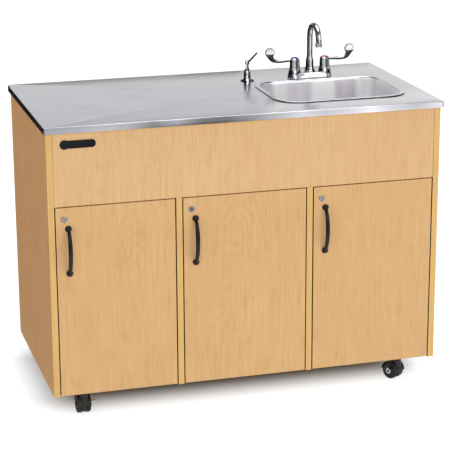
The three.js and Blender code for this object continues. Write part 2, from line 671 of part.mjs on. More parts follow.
function hoodShape() {
  const { radius, web } = wheel;
  const inside = radius + hood.gap;
  const outside = inside + hood.shell;
  const halfWidth = web / 2 + wheel.width;
  const onAxle = (geometry) => geometry.translate(0, caster.trail, radius);
  const wheelRoom = onAxle(rodX(inside, -halfWidth - 1, halfWidth + 1, 20));
  const neckRod = rodZ(hood.neck, radius + hood.neck, caster.height - hood.flangeHeight + 1, 14);
  const flange = rodZ(hood.flange, caster.height - hood.flangeHeight, caster.height - fit, 18);
  const below = block(-halfWidth - 1, halfWidth + 1, -2 * radius, 2 * radius, -radius, radius + 2);
  const cover = joined(onAxle(rodX(outside, -halfWidth, halfWidth, 20)), neckRod, flange);
  const shell = cut(cover, wheelRoom, below);
  const webHalf = web / 2 - hood.webGap;
  const middle = onAxle(rodX(inside + 1, -webHalf, webHalf, 20));
  const axleHole = onAxle(rodX(wheel.axle + hood.axleClearance, -web, web, 14));
  const floorRoom = block(-web, web, -2 * radius, 2 * radius, -radius, hood.floorGap);
  return cut(joined(shell, middle), axleHole, floorRoom);
}

function wheelPair() {
  const { radius: r, shoulder: s, axle, axleEnd } = wheel;
  const near = wheel.web / 2;
  const far = near + wheel.width;
  const side = [
    [axle, near], [r, near], [r, far - s], [r - s, far], [axle, far], [axle, far + axleEnd],
    [0, far + axleEnd],
  ];
  const profile = [...side.map(([radius, x]) => [radius, -x]).reverse(), ...side];
  return turned(profile, 16).rotateY(Math.PI / 2);
}

// The brake lever pivots on the end of the axle and has a foot tab that stands out sideways.
function brakeLever(side) {
  const x0 = wheel.web / 2 + wheel.width + 0.6;
  const x1 = x0 + brake.plate;
  const plate = joined(
    rodX(brake.pivot, x0, x1, 18),
    block(x0, x1, -5, 5, 0, brake.arm),
    block(x0, x1 + brake.tabOut, -brake.tabWidth / 2, brake.tabWidth / 2, brake.arm - brake.plate, brake.arm),
  );
  const lever = cut(plate, rodX(wheel.axle + hood.axleClearance, x0 - 1, x1 + 1, 14));
  if (side < 0) {
    lever.rotateZ(Math.PI);
  }
  return lever.rotateX(THREE.MathUtils.degToRad(brake.angle)).translate(0, caster.trail, wheel.radius);
}

function casters() {
  const { x, front, back } = caster.inset;
  const corners = {
    front_left: { x, y: front, turn: 0, brakeSide: 1 },
    front_right: { x: cabinet.width - x, y: front, turn: 30, brakeSide: -1 },
    back_left: { x, y: cabinet.depth - back, turn: -12, brakeSide: 0 },
    back_right: { x: cabinet.width - x, y: cabinet.depth - back, turn: 8, brakeSide: 0 },
  };
  for (const [corner, at] of Object.entries(corners)) {
    const group = new THREE.Group();
    group.position.set(at.x, at.y, -caster.height);
    group.rotation.z = THREE.MathUtils.degToRad(at.turn);
    assembly.add(group);
    place(group, `caster_hood_${corner}`, hoodShape(), blackPlastic);
    place(group, `caster_wheel_${corner}`, wheelPair(), tyre, 0, caster.trail, wheel.radius);
    if (at.brakeSide) {
      place(group, `brake_lever_${corner}`, brakeLever(at.brakeSide), galvanised);
    }
  }
}

carcass();
cordGland();
nameplate();
worktopPieces();
sinkBowl();
drainPieces();
tankPieces('waste', wasteTank, greyCap, cap.wasteNipple);
tankPieces('fresh', freshTank, capPlastic, hose.nipple);
drainHosePiece();
pumpPiece();
heaterPiece();
hosePieces();
faucetBase();
spoutPieces();
faucetHandle('handle_cold', -1);
faucetHandle('handle_hot', 1);
soapPieces();
bays.forEach(doorPieces);
casters();

// Move the cabinet's front left foot away from the origin, so that the origin is under the middle
assembly.position.set(-cabinet.width / 2, -(frontEdge + backEdge) / 2, caster.height);

const sink = new THREE.Group();
sink.add(assembly);

export default sink;
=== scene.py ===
import math
import bmesh
import bpy
from mathutils import Matrix, Vector


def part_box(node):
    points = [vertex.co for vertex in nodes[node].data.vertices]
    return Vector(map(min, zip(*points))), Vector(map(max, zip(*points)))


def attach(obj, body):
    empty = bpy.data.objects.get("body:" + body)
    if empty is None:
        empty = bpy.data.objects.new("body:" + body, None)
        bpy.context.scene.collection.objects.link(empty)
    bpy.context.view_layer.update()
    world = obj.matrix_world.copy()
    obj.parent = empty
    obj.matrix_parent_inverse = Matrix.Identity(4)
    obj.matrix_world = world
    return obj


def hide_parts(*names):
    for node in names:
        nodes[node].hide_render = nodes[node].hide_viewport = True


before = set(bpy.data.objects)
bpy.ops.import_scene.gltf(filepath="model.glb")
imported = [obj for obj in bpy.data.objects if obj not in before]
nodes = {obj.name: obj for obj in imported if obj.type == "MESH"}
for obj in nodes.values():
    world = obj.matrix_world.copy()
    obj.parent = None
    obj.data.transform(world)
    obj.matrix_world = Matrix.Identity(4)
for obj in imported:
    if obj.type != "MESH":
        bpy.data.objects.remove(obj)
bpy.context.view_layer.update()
print("frame loaded:", len(nodes), "nodes")


def linked(name, data):  # a new object in the scene
    made = bpy.data.objects.new(name, data)
    bpy.context.scene.collection.objects.link(made)
    return made


def midOf(node):
    low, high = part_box(node)
    return (low + high) / 2


# Camera, in metres and degrees. heading turns to the right of the back direction.
cameraView = {
    "place": (-1.4353, -5.0691, 2.0419), "heading": 15.908, "pitch": 16.443, "roll": -0.318, "lens": 138.25
}


def addCamera(view):
    camera = linked("camera", bpy.data.cameras.new("camera"))
    camera.data.lens = view["lens"]
    camera.data.sensor_width = 36
    camera.data.clip_end = 100
    turn = Matrix.Rotation(-math.radians(view["heading"]), 4, "Z")
    tip = Matrix.Rotation(math.radians(90 - view["pitch"]), 4, "X")
    roll = Matrix.Rotation(math.radians(view["roll"]), 4, "Z")
    camera.matrix_world = Matrix.Translation(view["place"]) @ turn @ tip @ roll
    bpy.context.scene.camera = camera


addCamera(cameraView)
bpy.context.scene.view_settings.view_transform = "Standard"


# Shader nodes

class Wire:  # a value that runs from one shader node to another
    def __init__(self, graph, socket):
        self.graph = graph
        self.socket = socket

    def join(self, operation, first, second):
        return self.graph.node("ShaderNodeMath", {"operation": operation}, {0: first, 1: second})

    def __add__(self, other):
        return self.join("ADD", self, other)

    def __radd__(self, other):
        return self.join("ADD", other, self)

    def __sub__(self, other):
        return self.join("SUBTRACT", self, other)

    def __rsub__(self, other):
        return self.join("SUBTRACT", other, self)

    def __mul__(self, other):
        return self.join("MULTIPLY", self, other)

    def __rmul__(self, other):
        return self.join("MULTIPLY", other, self)

    def __truediv__(self, other):
        return self.join("DIVIDE", self, other)

    def __pow__(self, other):
        return self.join("POWER", self, other)


class Graph:  # the shader nodes of one material or of the world
    def __init__(self, tree):
        self.tree = tree

    def feed(self, socket, value):
        if isinstance(value, Wire):
            self.tree.links.new(value.socket, socket)
        else:
            socket.default_value = value

    def node(self, kind, settings=None, values=None, output=0):
        made = self.tree.nodes.new(kind)
        for name, value in (settings or {}).items():
            if name == "stops":
                self.setStops(made.color_ramp, value)
            else:
                setattr(made, name, value)
        for name, value in (values or {}).items():
            self.feed(made.inputs[name], value)
        return Wire(self, made.outputs[output])

    def setStops(self, ramp, stops):
        while len(ramp.elements) < len(stops):
            ramp.elements.new(1)
        for element, (position, colour) in zip(ramp.elements, stops):
            element.position = position
            element.color = colour if len(colour) == 4 else (*colour, 1)

    def place(self):  # metres in the frame of the CAD
        return self.node("ShaderNodeTexCoord", output="Object")

    def axes(self, vector):
        return [self.node("ShaderNodeSeparateXYZ", values={0: vector}, output=i) for i in range(3)]

    def vector(self, x, y, z):
        return self.node("ShaderNodeCombineXYZ", values={0: x, 1: y, 2: z})

    def scaled(self, vector, scale):
        return self.node("ShaderNodeVectorMath", {"operation": "MULTIPLY"}, {0: vector, 1: scale})

    def noise(self, vector, scale=1, detail=2, roughness=0.5):
        values = {"Vector": vector, "Scale": scale, "Detail": detail, "Roughness": roughness}
        return self.node("ShaderNodeTexNoise", values=values)

    def between(self, value, low, high, start=0, end=1):  # eased from low..high to start..end
        values = {"Value": value, "From Min": low, "From Max": high, "To Min": start, "To Max": end}
        return self.node("ShaderNodeMapRange", {"interpolation_type": "SMOOTHSTEP"}, values)

    def mix(self, factor, first, second, blend="MIX"):
        settings = {"data_type": "RGBA", "blend_type": blend}
        return self.node("ShaderNodeMix", settings, {0: factor, 6: first, 7: second}, output=2)

    def bump(self, height, strength, distance):
        return self.node("ShaderNodeBump", values={
            "Height": height, "Strength": strength, "Distance": distance
        })


def rgb(r, g, b):
    return (r, g, b, 1)


def newLook(name, paint, constants):  # paint(graph) gives the sockets that change over the surface
    look = bpy.data.materials.new(name)
    look.use_nodes = True
    graph = Graph(look.node_tree)
    shader = look.node_tree.nodes["Principled BSDF"]
    for socket, value in {**constants, **paint(graph)}.items():
        graph.feed(shader.inputs[socket], value)
    return look


# Finishes

mapleFinish = {
    "light": (0.72, 0.462, 0.225), "mid": (0.66, 0.4, 0.18), "dark": (0.52, 0.285, 0.112), "column": 0.31,
    "arch": 30, "lineSpacing": 0.047, "figure": 0.25, "gloss": 0.52,
}


# Painted shade: darker in front of shadedTo, on the faces beside the doors' edges, where the gaps are in
# shade.
def paintMaple(grainAlong, tint=(1, 1, 1), shadedTo=None):
    f = mapleFinish
    light, mid, dark = [rgb(*(c * t for c, t in zip(f[key], tint))) for key in ("light", "mid", "dark")]

    def paint(graph):
        x, y, z = graph.axes(graph.place())
        across, along = (x + y, z) if grainAlong == "Z" else (y, x)
        drift = graph.noise(graph.vector(across * 2.2, along * 0.9, 0.0), 1, 2)
        shifted = across + (drift - 0.5) * 0.3
        cell = shifted / f["column"]
        fromMiddle = (cell - graph.node("ShaderNodeMath", {"operation": "ROUND"}, {0: cell})) * f["column"]
        wobble = graph.noise(graph.vector(across * 22, along * 6, 0.0), 1, 3)
        arches = along + fromMiddle * fromMiddle * f["arch"] + (wobble - 0.5) * 0.16
        wave = graph.node("ShaderNodeMath", {"operation": "SINE"}, {
            0: arches * (2 * math.pi / f["lineSpacing"])
        })
        presence = graph.between(graph.noise(graph.vector(across * 9, along * 3, 3.0), 1, 2), 0.42, 0.68)
        lines = graph.between(wave, 0.1, 1.0) * presence
        streaks = graph.noise(graph.vector(across * 170, along * 5, 0.0), 1, 4, 0.65)
        fine = graph.noise(graph.vector(across * 900, along * 40, 1.0), 1, 2)
        mottle = graph.noise(graph.vector(across * 46, along * 13, 5.0), 1, 4, 0.6)
        cloud = graph.noise(graph.vector(across * 6, along * 2.2, 8.0), 1, 3)
        colour = graph.mix(graph.between(streaks, 0.32, 0.68), mid, light)
        colour = graph.mix(lines * f["figure"], colour, dark)
        colour = graph.mix(graph.between(mottle, 0.48, 0.74) * 0.36, colour, dark)
        colour = graph.mix(graph.between(fine, 0.62, 0.8) * 0.3, colour, dark)
        colour = graph.mix(graph.between(cloud, 0.35, 0.75) * 0.45, colour, mid)
        height = streaks * 0.5 + fine * 0.5
        # painted shade in the gaps beside the doors
        if shadedTo is not None:
            colour = graph.mix(graph.between(y, shadedTo - 0.003, shadedTo), rgb(0.03, 0.018, 0.01), colour)
        return {
            "Base Color": colour, "Roughness": f["gloss"] + (cloud - 0.5) * 0.1,
            "Normal": graph.bump(height, 0.12, 0.0002),
        }
    return paint


def paintBanding(graph):  # the thin strip glued over the panels' edges
    x, y, z = graph.axes(graph.place())
    streaks = graph.noise(graph.vector((x + y) * 160, z * 5, 2.0), 1, 3)
    colour = graph.mix(graph.between(streaks, 0.25, 0.75), rgb(0.66, 0.385, 0.125), rgb(0.73, 0.455, 0.16))
    return {
        "Base Color": colour, "Roughness": 0.36 + streaks * 0.08, "Normal": graph.bump(streaks, 0.1, 0.0002)
    }


# Painted reflection on the folded front edge: place from its left end to its right, tone.
edgeReflectionTones = (
    (0.0, 0.36), (0.08, 0.4), (0.14, 0.48), (0.2, 0.43), (0.26, 0.26), (0.32, 0.42), (0.38, 0.2),
    (0.44, 0.19), (0.51, 0.32), (0.57, 0.47), (0.63, 0.63), (0.69, 0.54), (0.75, 0.63), (0.81, 0.84),
    (0.87, 0.63), (0.93, 0.54), (0.99, 0.78),
)


def paintWorktop(graph):  # satin steel, brushed along the cabinet, with a painted highlight in front of the bowl
    low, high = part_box("countertop_sheet")
    x, y, z = graph.axes(graph.place())
    hair = graph.noise(graph.vector(x * 5, y * 1500, 0.0), 1, 2, 0.6)
    broad = graph.noise(graph.vector(x * 2.5, y * 160, 4.0), 1, 3)
    smudge = graph.noise(graph.vector(x * 7, y * 7, z * 7), 1, 3)
    wave = graph.noise(graph.vector(x * 3.1, y * 4.3, z * 3.0), 1, 1)
    darker = rgb(*(0.9 * c for c in steelTint[:3]))
    colour = graph.mix(graph.between(broad, 0.3, 0.7), darker, steelTint)
    # painted highlight: brighter towards the front right, in front of the bowl
    paintedHighlight = graph.between(x - y * 0.5, 0.16, 0.24) * graph.between(y, -0.24, -0.04, 1.0, 0.35)
    colour = graph.mix(paintedHighlight, colour, rgb(0.65, 0.655, 0.68))
    # the folded front edge takes the painted reflection tones
    stops = [(place, (tone, tone, tone * 1.05)) for place, tone in edgeReflectionTones]
    edge = graph.node("ShaderNodeValToRGB", {"stops": stops}, {0: (x - low.x) / (high.x - low.x)})
    colour = graph.mix(graph.between(y, low.y + 0.0006, low.y + 0.0016, 1, 0), colour, edge)
    normal = graph.bump(hair * 0.6 + broad * 0.4, 0.22, 0.00005)
    settled = graph.node("ShaderNodeBump", values={
        "Height": wave, "Strength": 0.25, "Distance": 0.002, "Normal": normal
    })
    rough = 0.2 + (hair - 0.5) * 0.1 + graph.between(smudge, 0.45, 0.75) * 0.05
    return {"Base Color": colour, "Roughness": rough, "Normal": settled}


def paintBowl(graph):  # satin steel with painted upright streaks of reflected light
    x, y, z = graph.axes(graph.place())
    hair = graph.noise(graph.vector(z * 900, (x + y) * 9, 0.0), 1, 2, 0.6)
    broad = graph.noise(graph.vector(z * 6, (x + y) * 46, 4.0), 1, 2)
    smudge = graph.noise(graph.scaled(graph.place(), (9, 9, 9)), 1, 3)
    brushToneAndPaintedStreaks = graph.between(broad, 0.35, 0.75) * 0.25
    # painted highlights: bright upright streaks at set places along x, over the brushed tone
    for middle, width, strength in bowlPaintedStreaks:
        away = (x - middle) / width
        brushToneAndPaintedStreaks = brushToneAndPaintedStreaks + graph.between(away * away, 0.0, 1.0, strength, 0.0)
    colour = graph.mix(brushToneAndPaintedStreaks, rgb(0.69, 0.668, 0.7), rgb(1.0, 1.0, 1.0))
    return {
        "Base Color": colour, "Roughness": 0.3 + (hair - 0.5) * 0.08 + smudge * 0.06,
        "Normal": graph.bump(hair, 0.15, 0.00004),
    }


bowlPaintedStreaks = ((0.226, 0.032, 0.55), (0.372, 0.052, 1.0), (0.522, 0.048, 1.0))  # painted highlight streaks: middle, half width, strength


def paintPolished(tint, haze=0.05):
    def paint(graph):
        spots = graph.noise(graph.place(), 60, 3)
        water = graph.between(graph.noise(graph.place(), 260, 2), 0.66, 0.78)
        darker = tuple(0.93 * c for c in tint[:3]) + (1,)
        return {
            "Base Color": graph.mix(graph.between(spots, 0.3, 0.7), darker, tint),
            "Roughness": haze + graph.between(spots, 0.5, 0.8) * 0.05 + water * 0.06,
            "Normal": graph.bump(spots, 0.03, 0.0002),
        }
    return paint


def paintReflectionBars(middles, radius, reflectionBars, axis=0):  # plating with painted reflections: bars of bright and dark round each middle
    def paint(graph):
        across = graph.axes(graph.place())[axis]
        away = (across - middles[0]) / radius
        for middle in middles[1:]:
            halfWay = (middle + middles[0]) / 2
            nearer = graph.node("ShaderNodeMath", {"operation": "GREATER_THAN"}, {0: across, 1: halfWay})
            away = away - nearer * ((middle - middles[0]) / radius)
        stops = [(0.5 + place / 2, (tone, tone * 1.01, tone * 1.05)) for place, tone in reflectionBars]
        bent = graph.noise(graph.place(), 90, 1)
        colour = graph.node("ShaderNodeValToRGB", {"stops": stops}, {
            0: away * 0.5 + 0.5 + (bent - 0.5) * 0.06
        })
        return {
            "Base Color": colour, "Roughness": 0.04 + bent * 0.04, "Normal": graph.bump(bent, 0.02, 0.0002)
        }
    return paint


def paintMoulded(tint, grain, gloss, speck=0.15, depth=0.0002):
    def paint(graph):
        cells = graph.node("ShaderNodeTexVoronoi", values={"Vector": graph.place(), "Scale": grain})
        cloud = graph.noise(graph.place(), 14, 3)
        paler = tuple(min(1, c * (1 + speck) + 0.01) for c in tint[:3]) + (1,)
        return {
            "Base Color": graph.mix(graph.between(cloud, 0.3, 0.75), tint, paler),
            "Roughness": gloss + (cloud - 0.5) * 0.16 + cells * 0.06,
            "Normal": graph.bump(cells, 0.25, depth),
        }
    return paint


def paintEnamel(tint, gloss):
    def paint(graph):
        peel = graph.noise(graph.place(), 220, 2)
        cloud = graph.noise(graph.place(), 9, 3)
        paler = tuple(min(1, c * 1.1 + 0.004) for c in tint[:3]) + (1,)
        return {
            "Base Color": graph.mix(graph.between(cloud, 0.3, 0.7), tint, paler),
            "Roughness": gloss + (cloud - 0.5) * 0.1, "Normal": graph.bump(peel, 0.1, 0.0003),
        }
    return paint


def paintTankPoly(graph):  # natural polyethylene, a little uneven where it was blown
    cloud = graph.noise(graph.place(), 8, 4)
    flow = graph.noise(graph.scaled(graph.place(), (30, 30, 4)), 1, 3)
    colour = graph.mix(graph.between(cloud, 0.3, 0.7), rgb(0.72, 0.76, 0.78), rgb(0.82, 0.85, 0.86))
    return {
        "Base Color": colour, "Roughness": 0.34 + (flow - 0.5) * 0.12,
        "Normal": graph.bump(flow * 0.6 + cloud * 0.4, 0.25, 0.001),
    }


def paintBraid(graph):
    x, y, z = graph.axes(graph.place())

    def weave(sign):
        phase = (x * 0.6 + y * 0.6 + z * sign) * 1900
        return graph.node("ShaderNodeMath", {"operation": "SINE"}, {0: phase})

    threads = graph.between(weave(1.0) * weave(-1.0), -0.9, 0.9)
    return {
        "Base Color": graph.mix(threads, rgb(0.22, 0.23, 0.25), rgb(0.66, 0.67, 0.69)),
        "Roughness": 0.3 + threads * 0.15, "Normal": graph.bump(threads, 0.6, 0.0004),
    }


def paintPlywood(graph):
    x, y, z = graph.axes(graph.place())
    ply = graph.node("ShaderNodeMath", {"operation": "SINE"}, {0: z * (2 * math.pi / 0.0031)})
    fibre = graph.noise(graph.vector(x * 30, y * 30, z * 900), 1, 3)
    colour = graph.mix(graph.between(ply, -0.4, 0.4), rgb(0.46, 0.3, 0.15), rgb(0.6, 0.43, 0.25))
    colour = graph.mix(graph.between(fibre, 0.4, 0.8) * 0.4, colour, rgb(0.33, 0.2, 0.1))
    return {"Base Color": colour, "Roughness": 0.72 + fibre * 0.15, "Normal": graph.bump(fibre, 0.4, 0.0004)}


faucetX = midOf("faucet_base").x
hubOut = 0.0508  # from the faucet's middle to the middle of a handle
paddle = {"radius": 0.016, "below": 0.016}  # its middle below the top of the handle
steelTint = rgb(0.478, 0.472, 0.508)
chromeTint = rgb(0.47, 0.48, 0.51)
zincTint = rgb(0.56, 0.57, 0.58)

finishes = {  # paint, then the values that are the same all over
    "maple": (paintMaple("Z"), {"Specular IOR Level": 0.3}),
    "mapleDoor": (paintMaple("Z", (0.97, 0.94, 0.88)), {"Specular IOR Level": 0.25}),
    # maple painted darker and warmer: painted shade of the less-lit side panels
    "mapleSidePaintedShade": (paintMaple("Z", (0.82, 0.70, 0.60)), {"Specular IOR Level": 0.12}),
    "mapleAcross": (paintMaple("X"), {"Specular IOR Level": 0.3}),
    # maple painted near black: painted shade for the doors' side edges in the gaps
    "doorEdgePaintedShade": (paintMaple("Z", (0.07, 0.055, 0.05)), {"Specular IOR Level": 0.1}),
    # maple with a painted gap shade in front of the doors' backs
    "mapleInsideGapShade": (paintMaple("Z", (1, 1, 1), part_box("door_left")[1].y), {"Specular IOR Level": 0.2}),
    "nickel": (paintPolished(rgb(0.40, 0.365, 0.33), 0.20), {"Metallic": 1.0}),
    "banding": (paintBanding, {"Specular IOR Level": 0.3}),
    "worktopSteel": (paintWorktop, {"Metallic": 1.0}),
    "bowlSteel": (paintBowl, {"Metallic": 1.0}),
    "chrome": (paintPolished(chromeTint), {"Metallic": 1.0}),
    # hub, spout, soap and paddle chrome carry painted reflection bars
    "chromeHub": (paintReflectionBars((faucetX - hubOut, faucetX + hubOut), 0.0185, (
        (-0.95, 0.04), (-0.70, 0.03), (-0.52, 0.60), (-0.34, 1.0), (-0.14, 0.40), (0.04, 0.06), (0.26, 0.30),
        (0.44, 0.55), (0.62, 0.22), (0.80, 0.02), (0.98, 0.30))), {"Metallic": 1.0}),
    "chromeSpout": (paintReflectionBars((faucetX,), 0.0095, (
        (-0.95, 0.06), (-0.62, 0.16), (-0.40, 0.40), (-0.10, 0.45), (0.08, 1.0), (0.32, 0.95), (0.46, 0.05),
        (0.70, 0.04), (0.92, 0.70))), {"Metallic": 1.0}),
    "chromeSoap": (paintReflectionBars((midOf("soap_dispenser_collar").x,), 0.0120, (
        (-0.98, 0.03), (-0.62, 0.03), (-0.44, 0.80), (-0.18, 1.0), (-0.04, 0.10), (0.24, 0.03), (0.44, 0.30),
        (0.60, 0.85), (0.76, 0.08), (0.98, 0.02))), {"Metallic": 1.0}),
    "chromePaddle": (paintReflectionBars((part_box("handle_cold")[1].z - paddle["below"],), paddle["radius"], (
        (-0.95, 0.03), (-0.42, 0.04), (-0.26, 0.85), (0.30, 1.0), (0.95, 0.95)), axis=2), {"Metallic": 0.30}),
    # near-black chrome: painted shade for the bowl rim's outer edge, the handles' undersides and paddle
    # edges, and the soap nozzle's spout
    "chromePaintedShade": (paintPolished(rgb(0.05, 0.05, 0.055)), {"Metallic": 1.0}),
    "zinc": (paintPolished(zincTint, 0.24), {"Metallic": 1.0}),
    "blackEnamel": (paintEnamel(rgb(0.006, 0.006, 0.007), 0.20), {"Specular IOR Level": 0.22}),
    "badgeBlack": (paintEnamel(rgb(0.005, 0.005, 0.006), 0.24), {"Specular IOR Level": 0.12}),
    "blackPlastic": (paintMoulded(rgb(0.006, 0.006, 0.007), 900, 0.40), {"Specular IOR Level": 0.35}),
    # near black: painted shade inside the lock's slot and dimple
    "keywayPaintedShade": (paintMoulded(rgb(0.006, 0.006, 0.006), 600, 0.7), {}),
    "tyre": (paintMoulded(rgb(0.005, 0.005, 0.005), 500, 0.60, depth=0.0004), {"Specular IOR Level": 0.3}),
    "hubcap": (paintMoulded(rgb(0.012, 0.012, 0.013), 700, 0.40), {}),
    "tankPoly": (paintTankPoly, {"Subsurface Weight": 0.15}),
    "capBlue": (paintMoulded(rgb(0.040, 0.140, 0.420), 800, 0.36), {}),
    "capGrey": (paintMoulded(rgb(0.130, 0.140, 0.150), 800, 0.40), {}),
    "jacket": (paintEnamel(rgb(0.700, 0.715, 0.700), 0.30), {}),
    "dial": (paintMoulded(rgb(0.060, 0.062, 0.066), 500, 0.40), {}),
    "braid": (paintBraid, {"Metallic": 1.0}),
    "vinyl": (paintEnamel(rgb(0.560, 0.610, 0.620), 0.14), {"Coat Weight": 0.3}),
    "greyPlastic": (paintMoulded(rgb(0.250, 0.265, 0.275), 700, 0.42), {}),
    "brass": (paintPolished(rgb(0.72, 0.52, 0.24), 0.22), {"Metallic": 1.0}),
    "plywood": (paintPlywood, {}),
    "indexBlue": (paintEnamel(rgb(0.010, 0.022, 0.230), 0.35), {"Specular IOR Level": 0.15}),
    "indexRed": (paintEnamel(rgb(0.420, 0.010, 0.014), 0.35), {"Specular IOR Level": 0.15}),
    "liquidSoap": (paintEnamel(rgb(0.640, 0.690, 0.660), 0.20), {}),
}
looks = {name: newLook(name, *finish) for name, finish in finishes.items()}
print("finishes made:", len(looks))


# Shapes

def circle(radius, sides, z=0.0):
    angles = [2 * math.pi * i / sides for i in range(sides)]
    return [(radius * math.cos(a), radius * math.sin(a), z) for a in angles]


def oval(wide, deep, sides):
    return [(wide * math.cos(a), deep * math.sin(a)) for a in (2 * math.pi * i / sides for i in range(sides))]


def toothed(radius, z, depth, teeth, steps=4):  # a ring with square teeth, outward where depth is above zero
    ring = []
    for i in range(teeth * steps):
        a = 2 * math.pi * i / (teeth * steps)
        r = radius + (depth if i % steps < steps / 2 else 0)
        ring.append((r * math.cos(a), r * math.sin(a), z))
    return ring


def roundedRing(halfX, halfY, radius, z, steps=10):
    points = []
    for corner in range(4):
        sx = 1 if corner in (0, 3) else -1
        sy = 1 if corner < 2 else -1
        for step in range(steps + 1):
            angle = (corner + step / steps) * math.pi / 2
            x = sx * (halfX - radius) + radius * math.cos(angle)
            y = sy * (halfY - radius) + radius * math.sin(angle)
            points.append((x, y, z))
    return points


def cushion(halfX, halfY, corner, stations, steps):  # rounded rings at each inset and height
    return [roundedRing(halfX - inset, halfY - inset, corner - inset / 2, z, steps) for inset, z in stations]


def move(x, y, z):
    return Matrix.Translation((x, y, z))


def turnBy(degrees, axis):
    return Matrix.Rotation(math.radians(degrees), 4, axis)


def curveThrough(points, steps):  # a smooth line through the points, evenly cut between each pair
    points = [Vector(p) for p in points]
    ends = [2 * points[0] - points[1], *points, 2 * points[-1] - points[-2]]
    line = []
    for a, b, c, d in zip(ends, ends[1:], ends[2:], ends[3:]):
        for step in range(steps):
            t = step / steps
            line.append(0.5 * (
                2 * b + (c - a) * t + (
                    2 * a - 5 * b + 4 * c - d
                ) * t ** 2 + (3 * b - a - 3 * c + d) * t ** 3
            ))
    return [*line, points[-1]]


class Shape:  # the points and faces of one piece, in metres
    def __init__(self):
        self.points = []
        self.faces = []
        self.lookOf = []

    def add(self, points, faces, look=0, at=Matrix()):
        start = len(self.points)
        self.points += [at @ Vector(p) for p in points]
        self.faces += [[start + i for i in face] for face in faces]
        self.lookOf += [look] * len(faces)
        return self

    def loft(self, rings, look=0, at=Matrix(), looped=False, capped=True):
        count = len(rings[0])
        faces = []
        for band in range(len(rings) if looped else len(rings) - 1):
            low = band * count
            high = (band + 1) % len(rings) * count
            faces += [[
                low + i, low + (i + 1) % count, high + (i + 1) % count, high + i
            ] for i in range(count)]
        if capped and not looped:
            faces += [list(range(count))[::-1], [(len(rings) - 1) * count + i for i in range(count)]]
        return self.add([p for ring in rings for p in ring], faces, look, at)

    def turned(self, profile, look=0, at=Matrix(), sides=48, looped=False):
        return self.loft([circle(r, sides, z) for r, z in profile], look, at, looped)

    def rod(self, radius, z0, z1, **options):
        return self.turned([(0, z0), (radius, z0), (radius, z1), (0, z1)], **options)

    def tube(self, inner, outer, z0, z1, **options):
        return self.turned([(inner, z0), (outer, z0), (outer, z1), (inner, z1)], looped=True, **options)

    def thread(self, count, start, pitch, inner, outer, rise, **options):  # as separate rings
        for i in range(count):
            z = start + pitch * i
            self.turned([(inner, z), (outer, z + rise), (inner, z + 2 * rise)], looped=True, **options)

    def block(self, low, high, look=0, at=Matrix()):
        (x0, y0, z0), (x1, y1, z1) = low, high
        rings = [[(x0, y0, z), (x1, y0, z), (x1, y1, z), (x0, y1, z)] for z in (z0, z1)]
        return self.loft(rings, look, at)

    def sweep(self, path, section, up, look=0, at=Matrix(), scale=None):
        rings = []
        side = Vector(up)
        for i, point in enumerate(path):
            ahead = (path[min(i + 1, len(path) - 1)] - path[max(i - 1, 0)]).normalized()
            side = (side - ahead * side.dot(ahead)).normalized()
            other = ahead.cross(side)
            su, sv = scale(i / (len(path) - 1)) if scale else (1, 1)
            rings.append([point + side * u * su + other * v * sv for u, v in section])
        return self.loft(rings, look, at)

    # A flat sheet with holes through it, thick where z1 is given.
    def plate(self, outline, holes, z0, z1=None, look=0, at=Matrix()):
        build = bmesh.new()
        for loop in [outline, *holes]:
            verts = [build.verts.new((p[0], p[1], z0)) for p in loop]
            for a, b in zip(verts, verts[1:] + verts[:1]):
                build.edges.new((a, b))
        bmesh.ops.triangle_fill(build, use_beauty=True, edges=build.edges[:])
        if z1 is not None:
            raised = bmesh.ops.extrude_face_region(build, geom=build.faces[:])["geom"]
            bmesh.ops.translate(build, verts=[
                g for g in raised if isinstance(g, bmesh.types.BMVert)
            ], vec=(0, 0, z1 - z0))
        build.verts.index_update()
        self.add([v.co.copy() for v in build.verts], [
            [v.index for v in f.verts] for f in build.faces
        ], look, at)
        build.free()
        return self

    def screw(self, radius, at, look=0, depth=0.0012):  # a domed head with a cross recess
        dome = [
            (radius, 0), (radius, depth * 0.35), (radius * 0.8, depth * 0.8), (radius * 0.45, depth),
            (radius * 0.42, depth * 0.55), (0, depth * 0.45)
        ]
        self.turned([(0, -0.0002), *dome], look, at, 24)
        arm = radius * 0.5
        for quarter in (0, 90):
            self.block(
                (-arm, -arm * 0.2, depth * 0.4), (arm, arm * 0.2, depth * 0.62), look,
                at @ turnBy(quarter, "Z")
            )
        return self


def meshOf(name, shape):
    mesh = bpy.data.meshes.new(name)
    build = bmesh.new()
    verts = [build.verts.new(p) for p in shape.points]
    for face, look in zip(shape.faces, shape.lookOf):
        build.faces.new([verts[i] for i in face]).material_index = look
    bmesh.ops.remove_doubles(build, verts=build.verts, dist=1e-6)
    bmesh.ops.dissolve_degenerate(build, dist=1e-7, edges=build.edges)
    bmesh.ops.recalc_face_normals(build, faces=build.faces)
    build.to_mesh(mesh)
    build.free()
    return mesh


def madeSolid(piece):  # its modifiers become part of its mesh
    bpy.context.view_layer.update()
    ready = piece.evaluated_get(bpy.context.evaluated_depsgraph_get())
    mesh = bpy.data.meshes.new_from_object(ready)
    piece.modifiers.clear()
    piece.data = mesh


def combine(piece, tools, operation):
    for tool in tools:
        joint = piece.modifiers.new("combine", "BOOLEAN")
        joint.operation = operation
        joint.solver = "EXACT"
        joint.object = tool
    madeSolid(piece)
    for tool in tools:
        bpy.data.objects.remove(tool)


def loose(name, shape):
    return linked(name, meshOf(name, shape))


